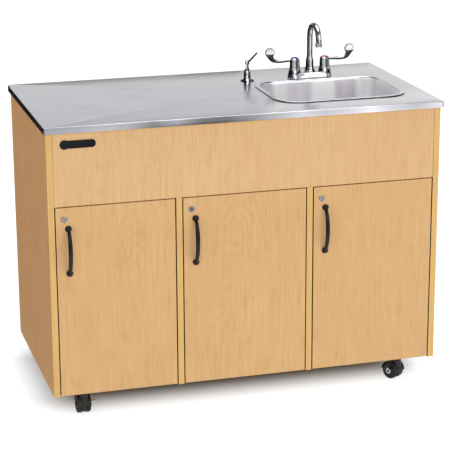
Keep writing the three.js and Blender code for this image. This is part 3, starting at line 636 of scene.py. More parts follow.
def settle(piece, body, slotName, pieceLooks, replaced=(), bevel=0.0, sharp=32, smooth=0, segments=2):
    lookOf = [face.material_index for face in piece.data.polygons]
    piece.data.materials.clear()
    for look in pieceLooks:
        piece.data.materials.append(looks[look])
    piece.data.polygons.foreach_set("material_index", [min(look, len(pieceLooks) - 1) for look in lookOf])
    if smooth:
        piece.modifiers.new("smooth", "SUBSURF").levels = smooth
        piece.modifiers["smooth"].render_levels = smooth
    if bevel:
        edge = piece.modifiers.new("edge", "BEVEL")
        edge.width = bevel
        edge.segments = segments
        edge.limit_method = "ANGLE"
        edge.angle_limit = math.radians(38)
        edge.harden_normals = True
    piece.data.shade_smooth()
    piece.data.set_sharp_from_angle(angle=math.radians(sharp))
    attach(piece, body)
    if replaced:
        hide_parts(*replaced)
    return piece


def makePiece(name, shape, body, slotName, pieceLooks, **options):
    return settle(loose(name, shape), body, slotName, pieceLooks, **options)


def copied(node, name, quads=False):  # a new object with the shape of a CAD node
    mesh = nodes[node].data.copy()
    build = bmesh.new()
    build.from_mesh(mesh)
    bmesh.ops.remove_doubles(build, verts=build.verts, dist=1e-6)
    if quads:
        bmesh.ops.join_triangles(
            build, faces=build.faces, angle_face_threshold=math.radians(60),
            angle_shape_threshold=math.radians(60)
        )
    else:
        bmesh.ops.dissolve_limit(build, angle_limit=math.radians(1), verts=build.verts, edges=build.edges)
    build.to_mesh(mesh)
    build.free()
    return linked(name, mesh)


# Panels and doors

panelWork = {"edge": 0.0008, "cupRadius": 0.0175, "cupDepth": 0.0115, "cupFromEdge": 0.0225}
bays = ("left", "middle", "right")


def paintByFace(piece, thin):  # the broad faces take the first look and the edges the second
    for face in piece.data.polygons:
        face.material_index = 0 if abs(face.normal[thin]) > 0.7 else 1


def cupHoles(bay):
    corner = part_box(f"door_{bay}")[1]
    tools = []
    for spot in ("lower", "upper"):
        at = move(
            corner.x - panelWork["cupFromEdge"], corner.y, midOf(f"hinge_{bay}_{spot}").z
        ) @ turnBy(-90, "X")
        cup = Shape().rod(panelWork["cupRadius"], -panelWork["cupDepth"], 0.002, at=at, sides=40)
        tools.append(loose("cup", cup))
    return tools


def makePanels():
    thinAxis = {
        "side_panel_left": 0, "side_panel_right": 0, "divider_left": 0, "divider_right": 0,
        "bottom_panel": 2, "back_panel": 1, "front_apron": 1
    }
    for node, thin in thinAxis.items():
        piece = copied(node, node + "_laminated")
        paintByFace(piece, thin)
        # the side panels take the maple with painted shade
        face = {
            "bottom_panel": "mapleAcross", "side_panel_left": "mapleSidePaintedShade", "side_panel_right": "mapleSidePaintedShade"
        }.get(node, "maple")
        for polygon in piece.data.polygons:
            # the faces beside the doors take the maple with the painted gap shade
            if abs(polygon.normal.x) > 0.7 and abs(polygon.center.x) < 0.6 and thin == 0:
                polygon.material_index = 2
        settle(
            piece, "cabinet", "laminate", [face, "banding", "mapleInsideGapShade"], replaced=[node],
            bevel=panelWork["edge"]
        )
    for bay in bays:
        piece = copied(f"door_{bay}", f"door_{bay}_laminated")
        combine(piece, cupHoles(bay), "DIFFERENCE")
        paintByFace(piece, 1)
        # the doors' side edges take the near-black painted shade of the gaps
        for face in piece.data.polygons:
            if abs(face.normal.x) > 0.9 and face.area > 0.002:
                face.material_index = 2
        settle(
            piece, f"door_{bay}", "laminate", ["mapleDoor", "banding", "doorEdgePaintedShade"],
            replaced=[f"door_{bay}"], bevel=panelWork["edge"]
        )


makePanels()
print("panels and doors made")


# Worktop

worktop = {"edgeRadius": 0.0022, "corner": 0.0035, "sheet": 0.0012, "hole": (0.202, 0.154, 0.067)}


def makeWorktop():
    w = worktop
    low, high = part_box("countertop_sheet")
    middle = (low + high) / 2
    half = (high - low) / 2
    offset = midOf("sink_bowl") - middle
    at = move(middle.x, middle.y, 0)

    def outline(inset, z):
        return roundedRing(half.x - inset, half.y - inset, max(w["corner"] - inset, 0.0005), z, 4)

    def bowlHole(z):
        return [(x + offset.x, y + offset.y, z) for x, y, z in roundedRing(*w["hole"], z, 10)]

    r = w["edgeRadius"]
    t = w["sheet"]
    topZ, underZ = high.z, high.z - t - 0.0004
    skin = [(
        r * (1 - math.sin(a)), high.z - r * (1 - math.cos(a))
    ) for a in (math.radians(d) for d in (0, 22.5, 45, 67.5, 90))]
    skin += [(0, low.z + 0.0004), (t / 2, low.z), (t, low.z + 0.0004), (t, underZ)]
    rings = [outline(inset, z) for inset, z in skin]
    walls = [bowlHole(topZ), bowlHole(underZ)]
    shape = Shape().loft(rings, at=at, capped=False)
    shape.plate(rings[0], [walls[0]], topZ, at=at)
    shape.plate(rings[-1], [walls[1]], underZ, at=at)
    shape.loft(walls, at=at, capped=False)
    makePiece("worktop_skin", shape, "cabinet", "stainless", ["worktopSteel"], replaced=["countertop_sheet"])

    core = copied("countertop_core", "worktop_core")
    settle(core, "cabinet", "core_board", ["plywood"], replaced=["countertop_core"])


makeWorktop()


# Bowl and drain

bowl = {
    "width": 0.394, "length": 0.298, "depth": 0.165, "corner": 0.062, "rim": 0.017, "rimHeight": 0.0032,
    "wall": 0.0013, "seat": 0.044, "hole": 0.0242
}


def makeBowl():
    b = bowl
    low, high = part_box("sink_bowl")
    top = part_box("countertop_sheet")[1].z
    d = b["depth"]
    at = move((low.x + high.x) / 2, (low.y + high.y) / 2, top)

    def ring(inset, z, corner=None):
        radius = corner if corner else b["corner"] - inset
        return roundedRing(b["width"] / 2 - inset, b["length"] / 2 - inset, radius, z, 14)

    rim = b["rim"]
    inside = [
        ring(-rim, 0.0003), ring(0.0001 - rim, 0.0018), ring(0.0005 - rim, 0.0027),
        ring(0.0014 - rim, 0.0031), ring(0.0022 - rim, b["rimHeight"]), ring(0.003 - rim, b["rimHeight"]),
        ring(-0.0042, b["rimHeight"]), ring(-0.0034, 0.0031), ring(-0.0018, 0.0024), ring(-0.0008, 0.001),
        ring(0.0, -0.001), ring(0.0006, -0.0045), ring(0.0009, -0.008), ring(0.0022, -0.03),
        ring(0.0042, -0.075), ring(0.0062, -0.115), ring(0.0078, 0.032 - d, 0.058),
        ring(0.0098, 0.022 - d, 0.06), ring(0.0135, 0.0135 - d, 0.062), ring(0.0195, 0.007 - d, 0.064),
        ring(0.028, 0.0038 - d, 0.064), ring(0.045, 0.0028 - d, 0.06),
    ]
    seatRing, holeRing = [roundedRing(b[key], b[key], b[key] - 1e-5, -d, 14) for key in ("seat", "hole")]
    lip = [(x * 1.08, y * 1.08, 0.0012 - d) for x, y, z in seatRing]
    inside += [lip, seatRing, holeRing]

    def under(points, drop):
        return [(x, y, z - drop) for x, y, z in points]

    t = b["wall"]
    outside = [
        under(holeRing, t), under(seatRing, t), under(inside[21], t),
        under(ring(0.028 - t, 0.0038 - d, 0.064), t)
    ]
    outside += [ring(0.0078 - t, 0.032 - d, 0.058), ring(0.0022 - t, -0.03), ring(-0.0001 - t, 0.0003)]
    shape = Shape().loft(inside + outside, at=at, looped=True)
    perRing = len(inside[0])
    # the rim's two outer bands take the near-black painted shade, a painted contact shadow under the rim
    bands = [2] * 2 + [1] * 8 + [0] * (len(inside) + len(outside) - 10)
    shape.lookOf = [bands[face // perRing] for face in range(len(shape.faces))]
    makePiece(
        "sink_bowl_pressed", shape, "cabinet", "stainless_bowl",
        ["bowlSteel", "worktopSteel", "chromePaintedShade"], replaced=["sink_bowl"], sharp=50
    )


def makeDrain():
    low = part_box("drain_strainer")[0]
    x, y, _ = midOf("drain_strainer")
    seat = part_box("sink_bowl")[0].z + bowl["wall"]
    at = move(x, y, seat)
    shape = Shape()
    shape.turned([
        (0.0195, 0.0004), (0.04, 0.0004), (0.04, 0.001), (0.0385, 0.0019), (0.03, 0.0022), (0.0262, 0.0016),
        (0.024, -0.002), (0.0236, -0.01), (0.0195, -0.01)
    ], at=at, sides=64, looped=True)
    holes = [
        [(
            px + 0.0021 * math.cos(a), py + 0.0021 * math.sin(a), 0
        ) for a in (2 * math.pi * k / 12 for k in range(12))] for ring,
        count in ((0.0062, 6), (0.0118, 12), (0.0168, 16)) for px,
        py in ((
            ring * math.cos(2 * math.pi * i / count), ring * math.sin(2 * math.pi * i / count)
        ) for i in range(count))
    ]
    shape.plate(circle(0.0205, 48), holes, -0.007, -0.0058, at=at)
    shape.turned([
        (0, -0.006), (0.0026, -0.006), (0.0022, -0.0006), (0.004, 0.0004), (0.0042, 0.0018),
        (0.0026, 0.0027), (0, 0.0028)
    ], at=at, sides=24)
    bottom = low.z - seat
    shape.tube(0.019, 0.0228, bottom, -0.0125, at=at)
    shape.thread(7, bottom + 0.004, 0.0032, 0.0226, 0.0233, 0.0008, at=at)
    shape.turned([
        (0.019, -0.0135), (0.0285, -0.0135), (0.0285, -0.023), (0.0228, -0.023), (0.019, -0.023)
    ], look=1, at=at, sides=6, looped=True)
    makePiece(
        "basket_strainer", shape, "cabinet", "stainless_bowl", ["chrome", "brass"],
        replaced=["drain_strainer"]
    )
    low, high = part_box("drain_tailpiece")
    length = high.z - low.z
    at = move(x, y, low.z)
    shape = Shape().turned([
        (0.014, 0), (0.016, 0), (0.016, length - 0.016), (0.0175, length - 0.016), (0.0175, length),
        (0.014, length)
    ], at=at, sides=48, looped=True)
    nut = ((0.0238, 0.0158), (0.0245, 0.0145), (0.0245, 0.0015), (0.0238, 0.0002))
    shape.loft([toothed(r, length - down, 0.0014, 16) for r, down in nut], look=1, at=at)
    shape.tube(0.0158, 0.0195, 0.006, 0.014, look=1, at=at)
    makePiece(
        "tailpiece_moulded", shape, "cabinet", "grey_plastic", ["greyPlastic", "capGrey"],
        replaced=["drain_tailpiece"]
    )


makeBowl()
makeDrain()
print("worktop and bowl made")


# Faucet

faucet = {"padRadius": 0.0208, "padFlare": 0.0248, "waistHeight": 0.02}


def makeFaucetBase():
    f = faucet
    low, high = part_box("faucet_base")
    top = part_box("countertop_sheet")[1].z
    x, y, _ = (low + high) / 2
    height = high.z - top
    at = move(x, y, top)
    base = Shape()
    plan = [
        (0.0745, 0.025, 0.0003), (0.0745, 0.025, 0.0022), (0.0738, 0.0243, 0.0034),
        (0.0726, 0.0231, 0.0044), (0.0718, 0.0222, 0.007), (0.07, 0.0203, 0.012),
        (0.0685, 0.019, f["waistHeight"] - 0.004), (0.067, 0.0176, f["waistHeight"] - 0.001),
        (0.0645, 0.015, f["waistHeight"])
    ]
    base.loft([roundedRing(halfX, halfY, halfY - 1e-5, z, 14) for halfX, halfY, z in plan], at=at)
    piece = loose("faucet_base_cast", base)
    pads = []
    for side in (-1, 0, 1):
        r = f["padRadius"] if side else 0.0185
        profile = [
            (0, 0.0045), (f["padFlare"] - 0.0012 if side else r, 0.0045), (r + 0.0012, 0.01), (r, 0.016),
            (r - 0.0008, height - 0.0016), (r - 0.0022, height), (0, height)
        ]
        pads.append(loose("pad", Shape().turned(profile, at=move(x + side * hubOut, y, top), sides=64)))
    combine(piece, pads, "UNION")
    for face in piece.data.polygons:
        nearPad = abs(abs(face.center.x - x) - hubOut) < 0.026
        face.material_index = 1 if nearPad and face.center.z > top + 0.003 else 0
    settle(
        piece, "cabinet", "chrome", ["chrome", "chromeHub"], replaced=["faucet_base"], bevel=0.0004,
        sharp=35
    )
    shanks = Shape()
    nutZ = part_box("countertop_core")[0].z
    for side in (-1, 1):
        spot = move(x + side * hubOut, y, 0)
        shanks.rod(0.0095, low.z, top - 0.0008, at=spot, sides=32)
        shanks.thread(14, low.z + 0.003, 0.0022, 0.0092, 0.01, 0.0006, at=spot, sides=32)
        shanks.tube(0.009, 0.02, nutZ - 0.009, nutZ - 0.0035, at=spot, sides=6, look=1)
        shanks.tube(0.009, 0.019, nutZ - 0.0035, nutZ - 0.0003, at=spot, sides=32, look=2)
    makePiece("faucet_shanks", shanks, "cabinet", "chrome", ["brass", "brass", "blackPlastic"])


handle = {"flutes": 10, "fluteDepth": 0.0022, "radius": 0.0172, "index": 0.0094, "armDrop": 0.028}


def makeHandle(node, side, indexLook):
    h = handle
    low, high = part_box(node)
    x = faucetX + side * hubOut
    y = (low.y + high.y) / 2
    at = move(x, y, low.z) @ turnBy(0 if side > 0 else 180, "Z")
    shape = Shape()
    steps = 12
    count = h["flutes"] * steps

    def fluted(radius, z, depth):
        ring = []
        for i in range(count):
            a = 2 * math.pi * i / count
            swell = abs(math.cos(h["flutes"] * a / 2)) ** 0.6
            r = radius - depth * (1 - swell)
            ring.append((r * math.cos(a), r * math.sin(a), z))
        return ring

    r, d = h["radius"], h["fluteDepth"]
    shape.loft([
        fluted(r + 0.0012, 0.0, 0), fluted(r + 0.0012, 0.0028, 0), fluted(r + 0.0002, 0.0042, d * 0.4),
        fluted(r - 0.0002, 0.008, d), fluted(r - 0.001, 0.03, d), fluted(r - 0.0014, 0.0345, d * 0.7),
        fluted(r - 0.0022, 0.0372, 0.0003), fluted(r - 0.0036, 0.039, 0), fluted(r - 0.0062, 0.04, 0)
    ], at=at)
    shape.turned([
        (0, 0.0385), (h["index"] + 0.0006, 0.0385), (h["index"] + 0.0004, 0.0408), (h["index"], 0.0416),
        (h["index"] * 0.7, 0.0424), (0, 0.0427)
    ], look=1, at=at, sides=40)
    reach = max(high.x - x, x - low.x) - paddle["radius"]
    paddleZ = high.z - low.z - paddle["below"]
    armZ = paddleZ - h["armDrop"]
    route = curveThrough([
        (0.004, 0, armZ), (0.0295, 0, armZ - 0.001), (reach - 0.028, 0, armZ - 0.002),
        (reach - 0.011, 0, armZ + 0.003), (reach - 0.0025, 0, armZ + 0.0145),
        (reach - 0.0002, 0, armZ + 0.0215)
    ], 8)

    def widen(t):
        end = max(0, (t - 0.45) / 0.55)
        return 1.0 - 0.42 * end, 1.15 + 0.6 * t + 1.6 * end ** 1.25
    shape.sweep(route, oval(0.0045, 0.0038, 20), (0, 1, 0), look=2, at=at, scale=widen)
    dish = [
        (0, -0.0016), (0.0085, -0.0017), (0.0125, -0.0022), (0.0142, -0.0027), (0.015, -0.0027),
        (0.0157, -0.002), (0.016, 0), (0.0157, 0.002), (0.015, 0.0027), (0.0142, 0.0027), (0.0125, 0.0022),
        (0.0085, 0.0017), (0, 0.0016)
    ]
    shape.turned(dish, look=2, at=at @ move(reach, 0, paddleZ) @ turnBy(90, "X"), sides=56)
    piece = loose(node + "_cast", shape)
    for face in piece.data.polygons:
        if face.material_index == 2:
            spot = face.center - Vector((x + side * reach, y, low.z + paddleZ))
            if spot.length < 0.0143:
                face.material_index = 4
            # the paddle's edge and the arm's downward faces take the near-black painted shade
            elif spot.length < 0.0165 or face.normal.z < 0.35:
                face.material_index = 3
    settle(piece, node, "chrome", [
        "chromeHub", indexLook, "chrome", "chromePaintedShade", "chromePaddle"
    ], replaced=[node], sharp=40)


spout = {"radius": 0.0092, "nutFoot": 0.0155, "nutTop": 0.0102}


def makeSpout():
    s = spout
    low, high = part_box("spout_nut")
    x, y, _ = (low + high) / 2
    height = high.z - low.z
    foot, top = s["nutFoot"], s["nutTop"]
    profile = [
        (0.007, 0), (foot, 0), (foot, 0.004), (foot - 0.0006, 0.0055), (foot - 0.0018, 0.0065),
        (foot - 0.0026, 0.011), (top + 0.0022, height - 0.011), (top + 0.0012, height - 0.0075),
        (top + 0.0012, height - 0.006), (top, height - 0.005), (top, height - 0.0006),
        (top - 0.0006, height), (0.007, height)
    ]
    nut = Shape().turned(profile, at=move(x, y, low.z), sides=56, looped=True)
    makePiece("spout_nut_turned", nut, "cabinet", "chrome", ["chromeSpout"], replaced=["spout_nut"], sharp=35)

    spoutLow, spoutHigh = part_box("spout")
    outletY = midOf("spout_aerator").y
    arc = (y - outletY) / 2
    bendZ = spoutHigh.z - s["radius"] - arc
    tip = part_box("spout_aerator")[1].z
    path = [Vector((x, y, high.z + 0.0003 + (bendZ - high.z) * i / 6)) for i in range(6)]
    for i in range(33):
        angle = math.pi * i / 32
        path.append(Vector((x, y - arc + arc * math.cos(angle), bendZ + arc * math.sin(angle))))
    path.append(Vector((x, outletY, tip + 0.0003)))
    shape = Shape().sweep(path, oval(s["radius"], s["radius"], 40), (1, 0, 0))
    shape.rod(0.0064, spoutLow.z, high.z + 0.002, at=move(x, y, 0), sides=32)
    makePiece("spout_bent", shape, "spout", "chrome", ["chromeSpout"], replaced=["spout"], sharp=35)

    low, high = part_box("spout_aerator")
    a = high.z - low.z
    shape = Shape()
    at = move(x, outletY, low.z)
    grip = ((0.0106, 0.0032, 0), (0.011, 0.004, 0.0005), (0.011, 0.0092, 0.0005), (0.0106, 0.01, 0))
    shape.loft([toothed(r, z, depth, 36, 2) for r, z, depth in grip], at=at)
    shape.turned([
        (0.0085, 0.006), (0.0085, 0.0), (0.0101, 0.0), (0.0108, 0.0008), (0.0108, 0.0036), (0.0085, 0.0036)
    ], at=at, sides=48, looped=True)
    shape.turned([
        (0, 0.0096), (0.0112, 0.0096), (0.0114, 0.0104), (0.011, 0.012), (0.0098, a - 0.0008), (0.0094, a),
        (0, a)
    ], at=at, sides=48)
    middles = [(u * 0.0023, v * 0.0023) for u in range(-3, 4) for v in range(-3, 4)]
    mesh = [[
        (u + 0.0007 * math.cos(b), v + 0.0007 * math.sin(b), 0) for b in (math.pi * k / 3 for k in range(6))
    ] for u, v in middles if u * u + v * v < 5.2e-5]
    shape.plate(circle(0.0087, 32), mesh, 0.004, 0.0048, look=1, at=at)
    makePiece(
        "aerator_knurled", shape, "spout", "chrome", ["chrome", "blackPlastic"], replaced=["spout_aerator"],
        sharp=35
    )


makeFaucetBase()
makeHandle("handle_cold", -1, "indexBlue")
makeHandle("handle_hot", 1, "indexRed")
makeSpout()


# Soap dispenser

soap = {"flange": 0.0225, "bell": 0.0115, "bore": 0.0056, "stem": 0.0049}


def makeSoap():
    s = soap
    low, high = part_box("soap_dispenser_collar")
    x, y, _ = (low + high) / 2
    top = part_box("countertop_sheet")[1].z
    h = high.z - top
    at = move(x, y, top)
    bell = s["bell"]
    flange = s["flange"]
    profile = [
        (s["bore"], 0.0003), (flange - 0.0004, 0.0003), (flange, 0.001), (flange - 0.0006, 0.002),
        (flange - 0.003, 0.003), (bell + 0.0035, 0.0048), (bell + 0.001, 0.0066), (bell, 0.009),
        (bell, h - 0.013), (bell - 0.0004, h - 0.01), (bell - 0.0014, h - 0.0068),
        (bell - 0.003, h - 0.0036), (bell - 0.0044, h - 0.0012), (bell - 0.005, h - 0.0002),
        (s["bore"], h - 0.0002)
    ]
    shape = Shape().turned(profile, at=at, sides=56, looped=True)
    shape.tube(0.0078, 0.0106, low.z - top, -0.001, look=1, at=at, sides=40)
    shape.thread(9, low.z - top + 0.0015, 0.0024, 0.0104, 0.011, 0.0006, look=1, at=at, sides=40)
    shape.tube(0.01, 0.0175, -0.0285, -0.0215, look=1, at=at, sides=8)
    makePiece(
        "soap_collar_turned", shape, "cabinet", "chrome", ["chromeSoap", "blackPlastic"],
        replaced=["soap_dispenser_collar"], sharp=35
    )

    low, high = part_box("soap_pump_stem")
    stem = [(0, low.z), (s["stem"], low.z), (s["stem"], high.z - 0.0006), (0.004, high.z), (0, high.z)]
    shape = Shape().turned(stem, at=move(x, y, 0), sides=32)
    makePiece("soap_stem_turned", shape, "soap_stem", "chrome", ["chromeSoap"], replaced=["soap_pump_stem"])

    low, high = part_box("soap_nozzle")
    height = 0.012
    at = move(x, y, low.z)
    shape = Shape().turned([
        (0, 0), (0.0066, 0), (0.0073, 0.001), (0.0075, 0.003), (0.007, 0.0085), (0.006, 0.0106),
        (0.0036, height), (0, height)
    ], at=at, sides=40)
    start = Vector((0.003, 0, 0.004))
    end = Vector((high.x - x - 0.0024, 0, high.z - low.z - 0.0024))
    path = [start.lerp(end, i / 10) for i in range(11)]
    # the nozzle's spout takes the near-black painted shade
    shape.sweep(
        path, oval(0.0029, 0.0029, 20), (0, 1, 0), look=1, at=at, scale=lambda t: (1.1 - 0.2 * t,) * 2
    )
    makePiece(
        "soap_nozzle_turned", shape, "soap_nozzle", "chrome", ["chromeSoap", "chromePaintedShade"],
        replaced=["soap_nozzle"]
    )

    low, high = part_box("soap_bottle")
    length = high.z - low.z
    r = (high.x - low.x) / 2
    profile = [
        (0, 0.0016), (r * 0.55, 0.0014), (r * 0.7, 0), (r - 0.005, 0), (r - 0.0012, 0.0016), (r, 0.005),
        (r, 0.02), (r - 0.0006, 0.022), (r - 0.0006, length - 0.034), (r, length - 0.032),
        (r - 0.0008, length - 0.026), (r - 0.005, length - 0.02), (0.0172, length - 0.014),
        (0.0158, length - 0.0115), (0.0158, length - 0.0002), (0, length - 0.0002)
    ]
    shape = Shape().turned(profile, at=move(x, y, low.z), sides=56)
    makePiece("soap_bottle_blown", shape, "cabinet", "tank_plastic", ["liquidSoap"], replaced=["soap_bottle"])


makeSoap()
print("faucet and soap dispenser made")


# Pulls, locks and hinges

pull = {"wide": 0.0067, "deep": 0.0049, "foot": 0.01, "footDepth": 0.0042}


def makePull(bay):
    p = pull
    low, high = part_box(f"pull_{bay}")
    x = (low.x + high.x) / 2
    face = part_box(f"door_{bay}")[0].y
    half = (high.z - low.z) / 2 - p["foot"]
    middle = (low.z + high.z) / 2
    at = move(x, face, middle)
    shape = Shape()
    peak = face - low.y - p["deep"]
    swing = (4 * peak - p["footDepth"]) / 3
    ends = [
        Vector((0, -p["footDepth"] + 0.0012, half)), Vector((0, -swing, half * 0.62)),
        Vector((0, -swing, -half * 0.62)), Vector((0, -p["footDepth"] + 0.0012, -half))
    ]
    path = []
    for i in range(41):
        t = i / 40
        u = 1 - t
        path.append(ends[0] * u ** 3 + 3 * ends[1] * u * u * t + 3 * ends[2] * u * t * t + ends[3] * t ** 3)

    def slim(t):
        swell = math.sin(math.pi * t) ** 0.7 if 0 < t < 1 else 0
        return 0.6 + 0.4 * swell, 0.7 + 0.3 * swell
    shape.sweep(path, oval(p["wide"], p["deep"], 28), (1, 0, 0), at=at, scale=slim)
    foot = p["foot"]
    for side in (-1, 1):
        profile = [
            (0, 0.0003), (foot, 0.0003), (foot, 0.0024), (foot - 0.0005, 0.0036), (foot - 0.0018, 0.0047),
            (foot - 0.0042, 0.0054), (0, 0.0057)
        ]
        shape.turned(profile, at=at @ move(0, 0, side * half) @ turnBy(90, "X"), sides=48)
    makePiece(
        f"pull_{bay}_bow", shape, f"door_{bay}", "black_metal", ["blackEnamel"], replaced=[f"pull_{bay}"],
        sharp=45
    )
    screws = Shape()
    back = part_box(f"door_{bay}")[1].y
    for side in (-1, 1):
        screws.screw(0.0042, move(x, back, middle + side * half) @ turnBy(-90, "X"))
    makePiece(f"pull_{bay}_screws", screws, f"door_{bay}", "zinc_plated", ["zinc"], sharp=30)


lock = {"bezel": 0.0103, "plug": 0.0069, "bezelDepth": 0.0014}


def makeLock(bay):
    k = lock
    low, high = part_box(f"lock_{bay}")
    face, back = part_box(f"door_{bay}")[0].y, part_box(f"door_{bay}")[1].y
    z = (low.z + high.z) / 2
    x = low.x + (high.z - low.z) / 2
    out = move(x, face, z) @ turnBy(90, "X")
    d = k["bezelDepth"]
    ring = Shape().turned([
        (0.0073, -0.01), (0.008, -0.01), (0.008, 0.0002), (k["bezel"], 0.0002), (k["bezel"], 0.0005),
        (k["bezel"] - 0.0006, 0.0011), (k["bezel"] - 0.0018, d), (0.0076, d), (0.0073, 0.001)
    ], at=out, sides=48, looped=True)
    inward = move(x, back, z) @ turnBy(-90, "X")
    ring.tube(0.0073, 0.011, 0.0002, 0.0014, at=inward, sides=6)
    makePiece(f"lock_{bay}_bezel", ring, f"door_{bay}", "chrome", ["nickel"], sharp=35)
    r = k["plug"]
    depth = face - low.y
    inner = back - face + 0.003
    plug = Shape().turned([
        (0, inner), (r, inner), (r, 0.0007 - depth), (r - 0.0006, 0.0001 - depth), (0, 0.0001 - depth)
    ], at=move(x, face, z) @ turnBy(-90, "X"), sides=40)
    body = loose(f"lock_{bay}_plug", plug)
    slotCut = Shape().block((-0.0007, -0.0035, -0.004), (0.0007, 0.0035, 0.004), at=out)
    dimple = Shape().turned([(0, -0.001), (0.0019, -0.001), (0.0026, 0.004), (0, 0.004)], at=out, sides=24)
    combine(body, [loose("slotCut", slotCut), loose("dimple", dimple)], "DIFFERENCE")
    # faces inside the slot and dimple take the near-black painted shade
    for polygon in body.data.polygons:
        inSlot = polygon.center.y > face - depth + 0.0002 and (abs(
            polygon.center.x - x
        ) < 0.0027 and abs(polygon.center.z - z) < 0.0036)
        polygon.material_index = 1 if inSlot and polygon.center.y < back else 0
    settle(body, f"lock_{bay}", "chrome", ["nickel", "keywayPaintedShade"], sharp=30, bevel=0.00015)

    arm = Shape()
    camBack, camFront = high.y, high.y - 0.002
    half = (high.z - low.z) / 2
    tip = high.x - x
    outline = [(
        half * math.cos(a), half * math.sin(a)
    ) for a in (math.radians(90 + 180 * i / 16) for i in range(17))]
    outline += [
        (tip - 0.004, -half * 0.86), (tip - 0.0012, -half * 0.78), (tip, -half * 0.62), (tip, half * 0.62),
        (tip - 0.0012, half * 0.78), (tip - 0.004, half * 0.86)
    ]
    arm.loft([[(x + u, y, z + v) for u, v in outline] for y in (camFront, camBack)])
    arm.rod(0.0058, -0.0006, 0.0001, at=move(x, camFront - 0.0001, z) @ turnBy(-90, "X"), sides=6)
    makePiece(
        f"lock_{bay}_cam", arm, f"lock_{bay}", "zinc_plated", ["zinc"], replaced=[f"lock_{bay}"],
        bevel=0.0003, sharp=35
    )


def makeHinge(bay, spot):
    node = f"hinge_{bay}_{spot}"
    low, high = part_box(node)
    z = (low.z + high.z) / 2
    wall = high.x
    shape = Shape()
    plateFront = high.y - 0.04
    plan = [
        (plateFront, z - 0.01), (plateFront + 0.01, z - 0.022), (high.y - 0.01, z - 0.022),
        (high.y, z - 0.012), (high.y, z + 0.012), (high.y - 0.01, z + 0.022),
        (plateFront + 0.01, z + 0.022), (plateFront, z + 0.01)
    ]
    shape.loft([[(xx, yy, zz) for yy, zz in plan] for xx in (wall - 0.0022, wall)])
    for side in (-1, 1):
        shape.screw(0.0038, move(wall - 0.0022, high.y - 0.02, z + side * 0.0165) @ turnBy(-90, "Y"))
    armBack = high.y - 0.004
    front = low.y
    inner = low.x
    section = [
        (wall - 0.0026, -0.0062), (inner + 0.0045, -0.0078), (inner + 0.002, -0.007),
        (inner + 0.0008, -0.005), (inner + 0.0008, 0.005), (inner + 0.002, 0.007), (inner + 0.0045, 0.0078),
        (wall - 0.0026, 0.0062)
    ]
    stations = [
        (front + 0.016, 0.8), (front + 0.02, 0.92), (front + 0.03, 1.0), (armBack - 0.006, 1.0),
        (armBack, 0.86)
    ]
    shape.loft([[(px, yy, z + pz * k) for px, pz in section] for yy, k in stations])
    for along, radius in ((front + 0.031, 0.0032), (armBack - 0.014, 0.0036)):
        shape.screw(radius, move(inner + 0.0008, along, z) @ turnBy(-90, "Y"))
    for shift in (0.0045, 0.0105):
        shape.block((inner + shift, front, z - 0.0042), (inner + shift + 0.0022, front + 0.021, z + 0.0042))
    for shift, along in ((0.0056, 0.0185), (0.0116, 0.0175)):
        shape.rod(0.0014, -0.0072, 0.0072, at=move(inner + shift, front + along, z), sides=16)
    makePiece(
        node + "_arm", shape, "cabinet", "zinc_plated", ["zinc"], replaced=[node], bevel=0.0003, sharp=30
    )
    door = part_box(f"door_{bay}")[1]
    cup = Shape()
    at = move(door.x - panelWork["cupFromEdge"], door.y, z) @ turnBy(-90, "X")
    r, depth = panelWork["cupRadius"] - 0.0002, panelWork["cupDepth"] - 0.0006
    wallIn = r - 0.001
    cup.turned([
        (0, -depth), (r - 0.001, -depth), (r, -depth + 0.001), (r, 0.0003), (r + 0.0012, 0.0003),
        (r + 0.0012, 0.0012), (wallIn, 0.0012), (wallIn, -depth + 0.002), (wallIn - 0.0015, -depth + 0.001),
        (0, -depth + 0.001)
    ], at=at, sides=48)
    for side in (-1, 1):
        near = [(r * 0.86 * math.cos(a), side * r * 0.86 * math.sin(a)) for a in map(math.radians, (150, 30))]
        ear = [near[0], (-0.006, side * 0.0292), (0.006, side * 0.0292), near[1]]
        cup.loft([[(u, v, w) for u, v in ear] for w in (0.0003, 0.0014)], at=at)
        cup.screw(0.0034, at @ move(0, side * 0.024, 0.0014))
    makePiece(f"hinge_cup_{bay}_{spot}", cup, f"door_{bay}", "zinc_plated", ["zinc"], sharp=30)


for bay in bays:
    makePull(bay)
    makeLock(bay)
    for spot in ("lower", "upper"):
        makeHinge(bay, spot)


def makeBadge():
    low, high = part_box("badge_plate")
    middle = (low + high) / 2
    half = (high - low) / 2
    depth = 2 * half.y
    at = move(middle.x, high.y, middle.z) @ turnBy(90, "X")
    edge = [(0, 0.0), (0, depth * 0.55), (0.0004, depth * 0.85), (0.001, depth), (0.0022, depth)]
    bar = [*edge, (0.0027, depth * 0.8), (0.0034, depth * 0.74)]
    halfBar = half.z - 0.0022
    shape = Shape().loft([
        roundedRing(half.x - 0.001 - i, halfBar - i, halfBar - 0.0001 - i, z, 12) for i, z in bar
    ], at=at)
    piece = loose("badge_blank", shape)
    disc = [(half.z - i, z) for i, z in edge] + [(half.z - 0.003, depth * 0.86), (0, depth * 0.86)]
    end = Shape().turned([(0, 0), *disc], at=at @ move(half.z - half.x, 0, 0), sides=64)
    combine(piece, [loose("badgeEnd", end)], "UNION")
    settle(piece, "cabinet", "badge_black", ["badgeBlack"], replaced=["badge_plate"], sharp=40)


makeBadge()
print("door hardware made")


# Water system

def softened(node, name, look, slotName, levels=2):  # a smooth copy of a bent CAD tube
    piece = copied(node, name, quads=True)
    for face in piece.data.polygons:
        face.material_index = 0
    return settle(piece, "cabinet", slotName, [look], replaced=[node], smooth=levels, sharp=60)


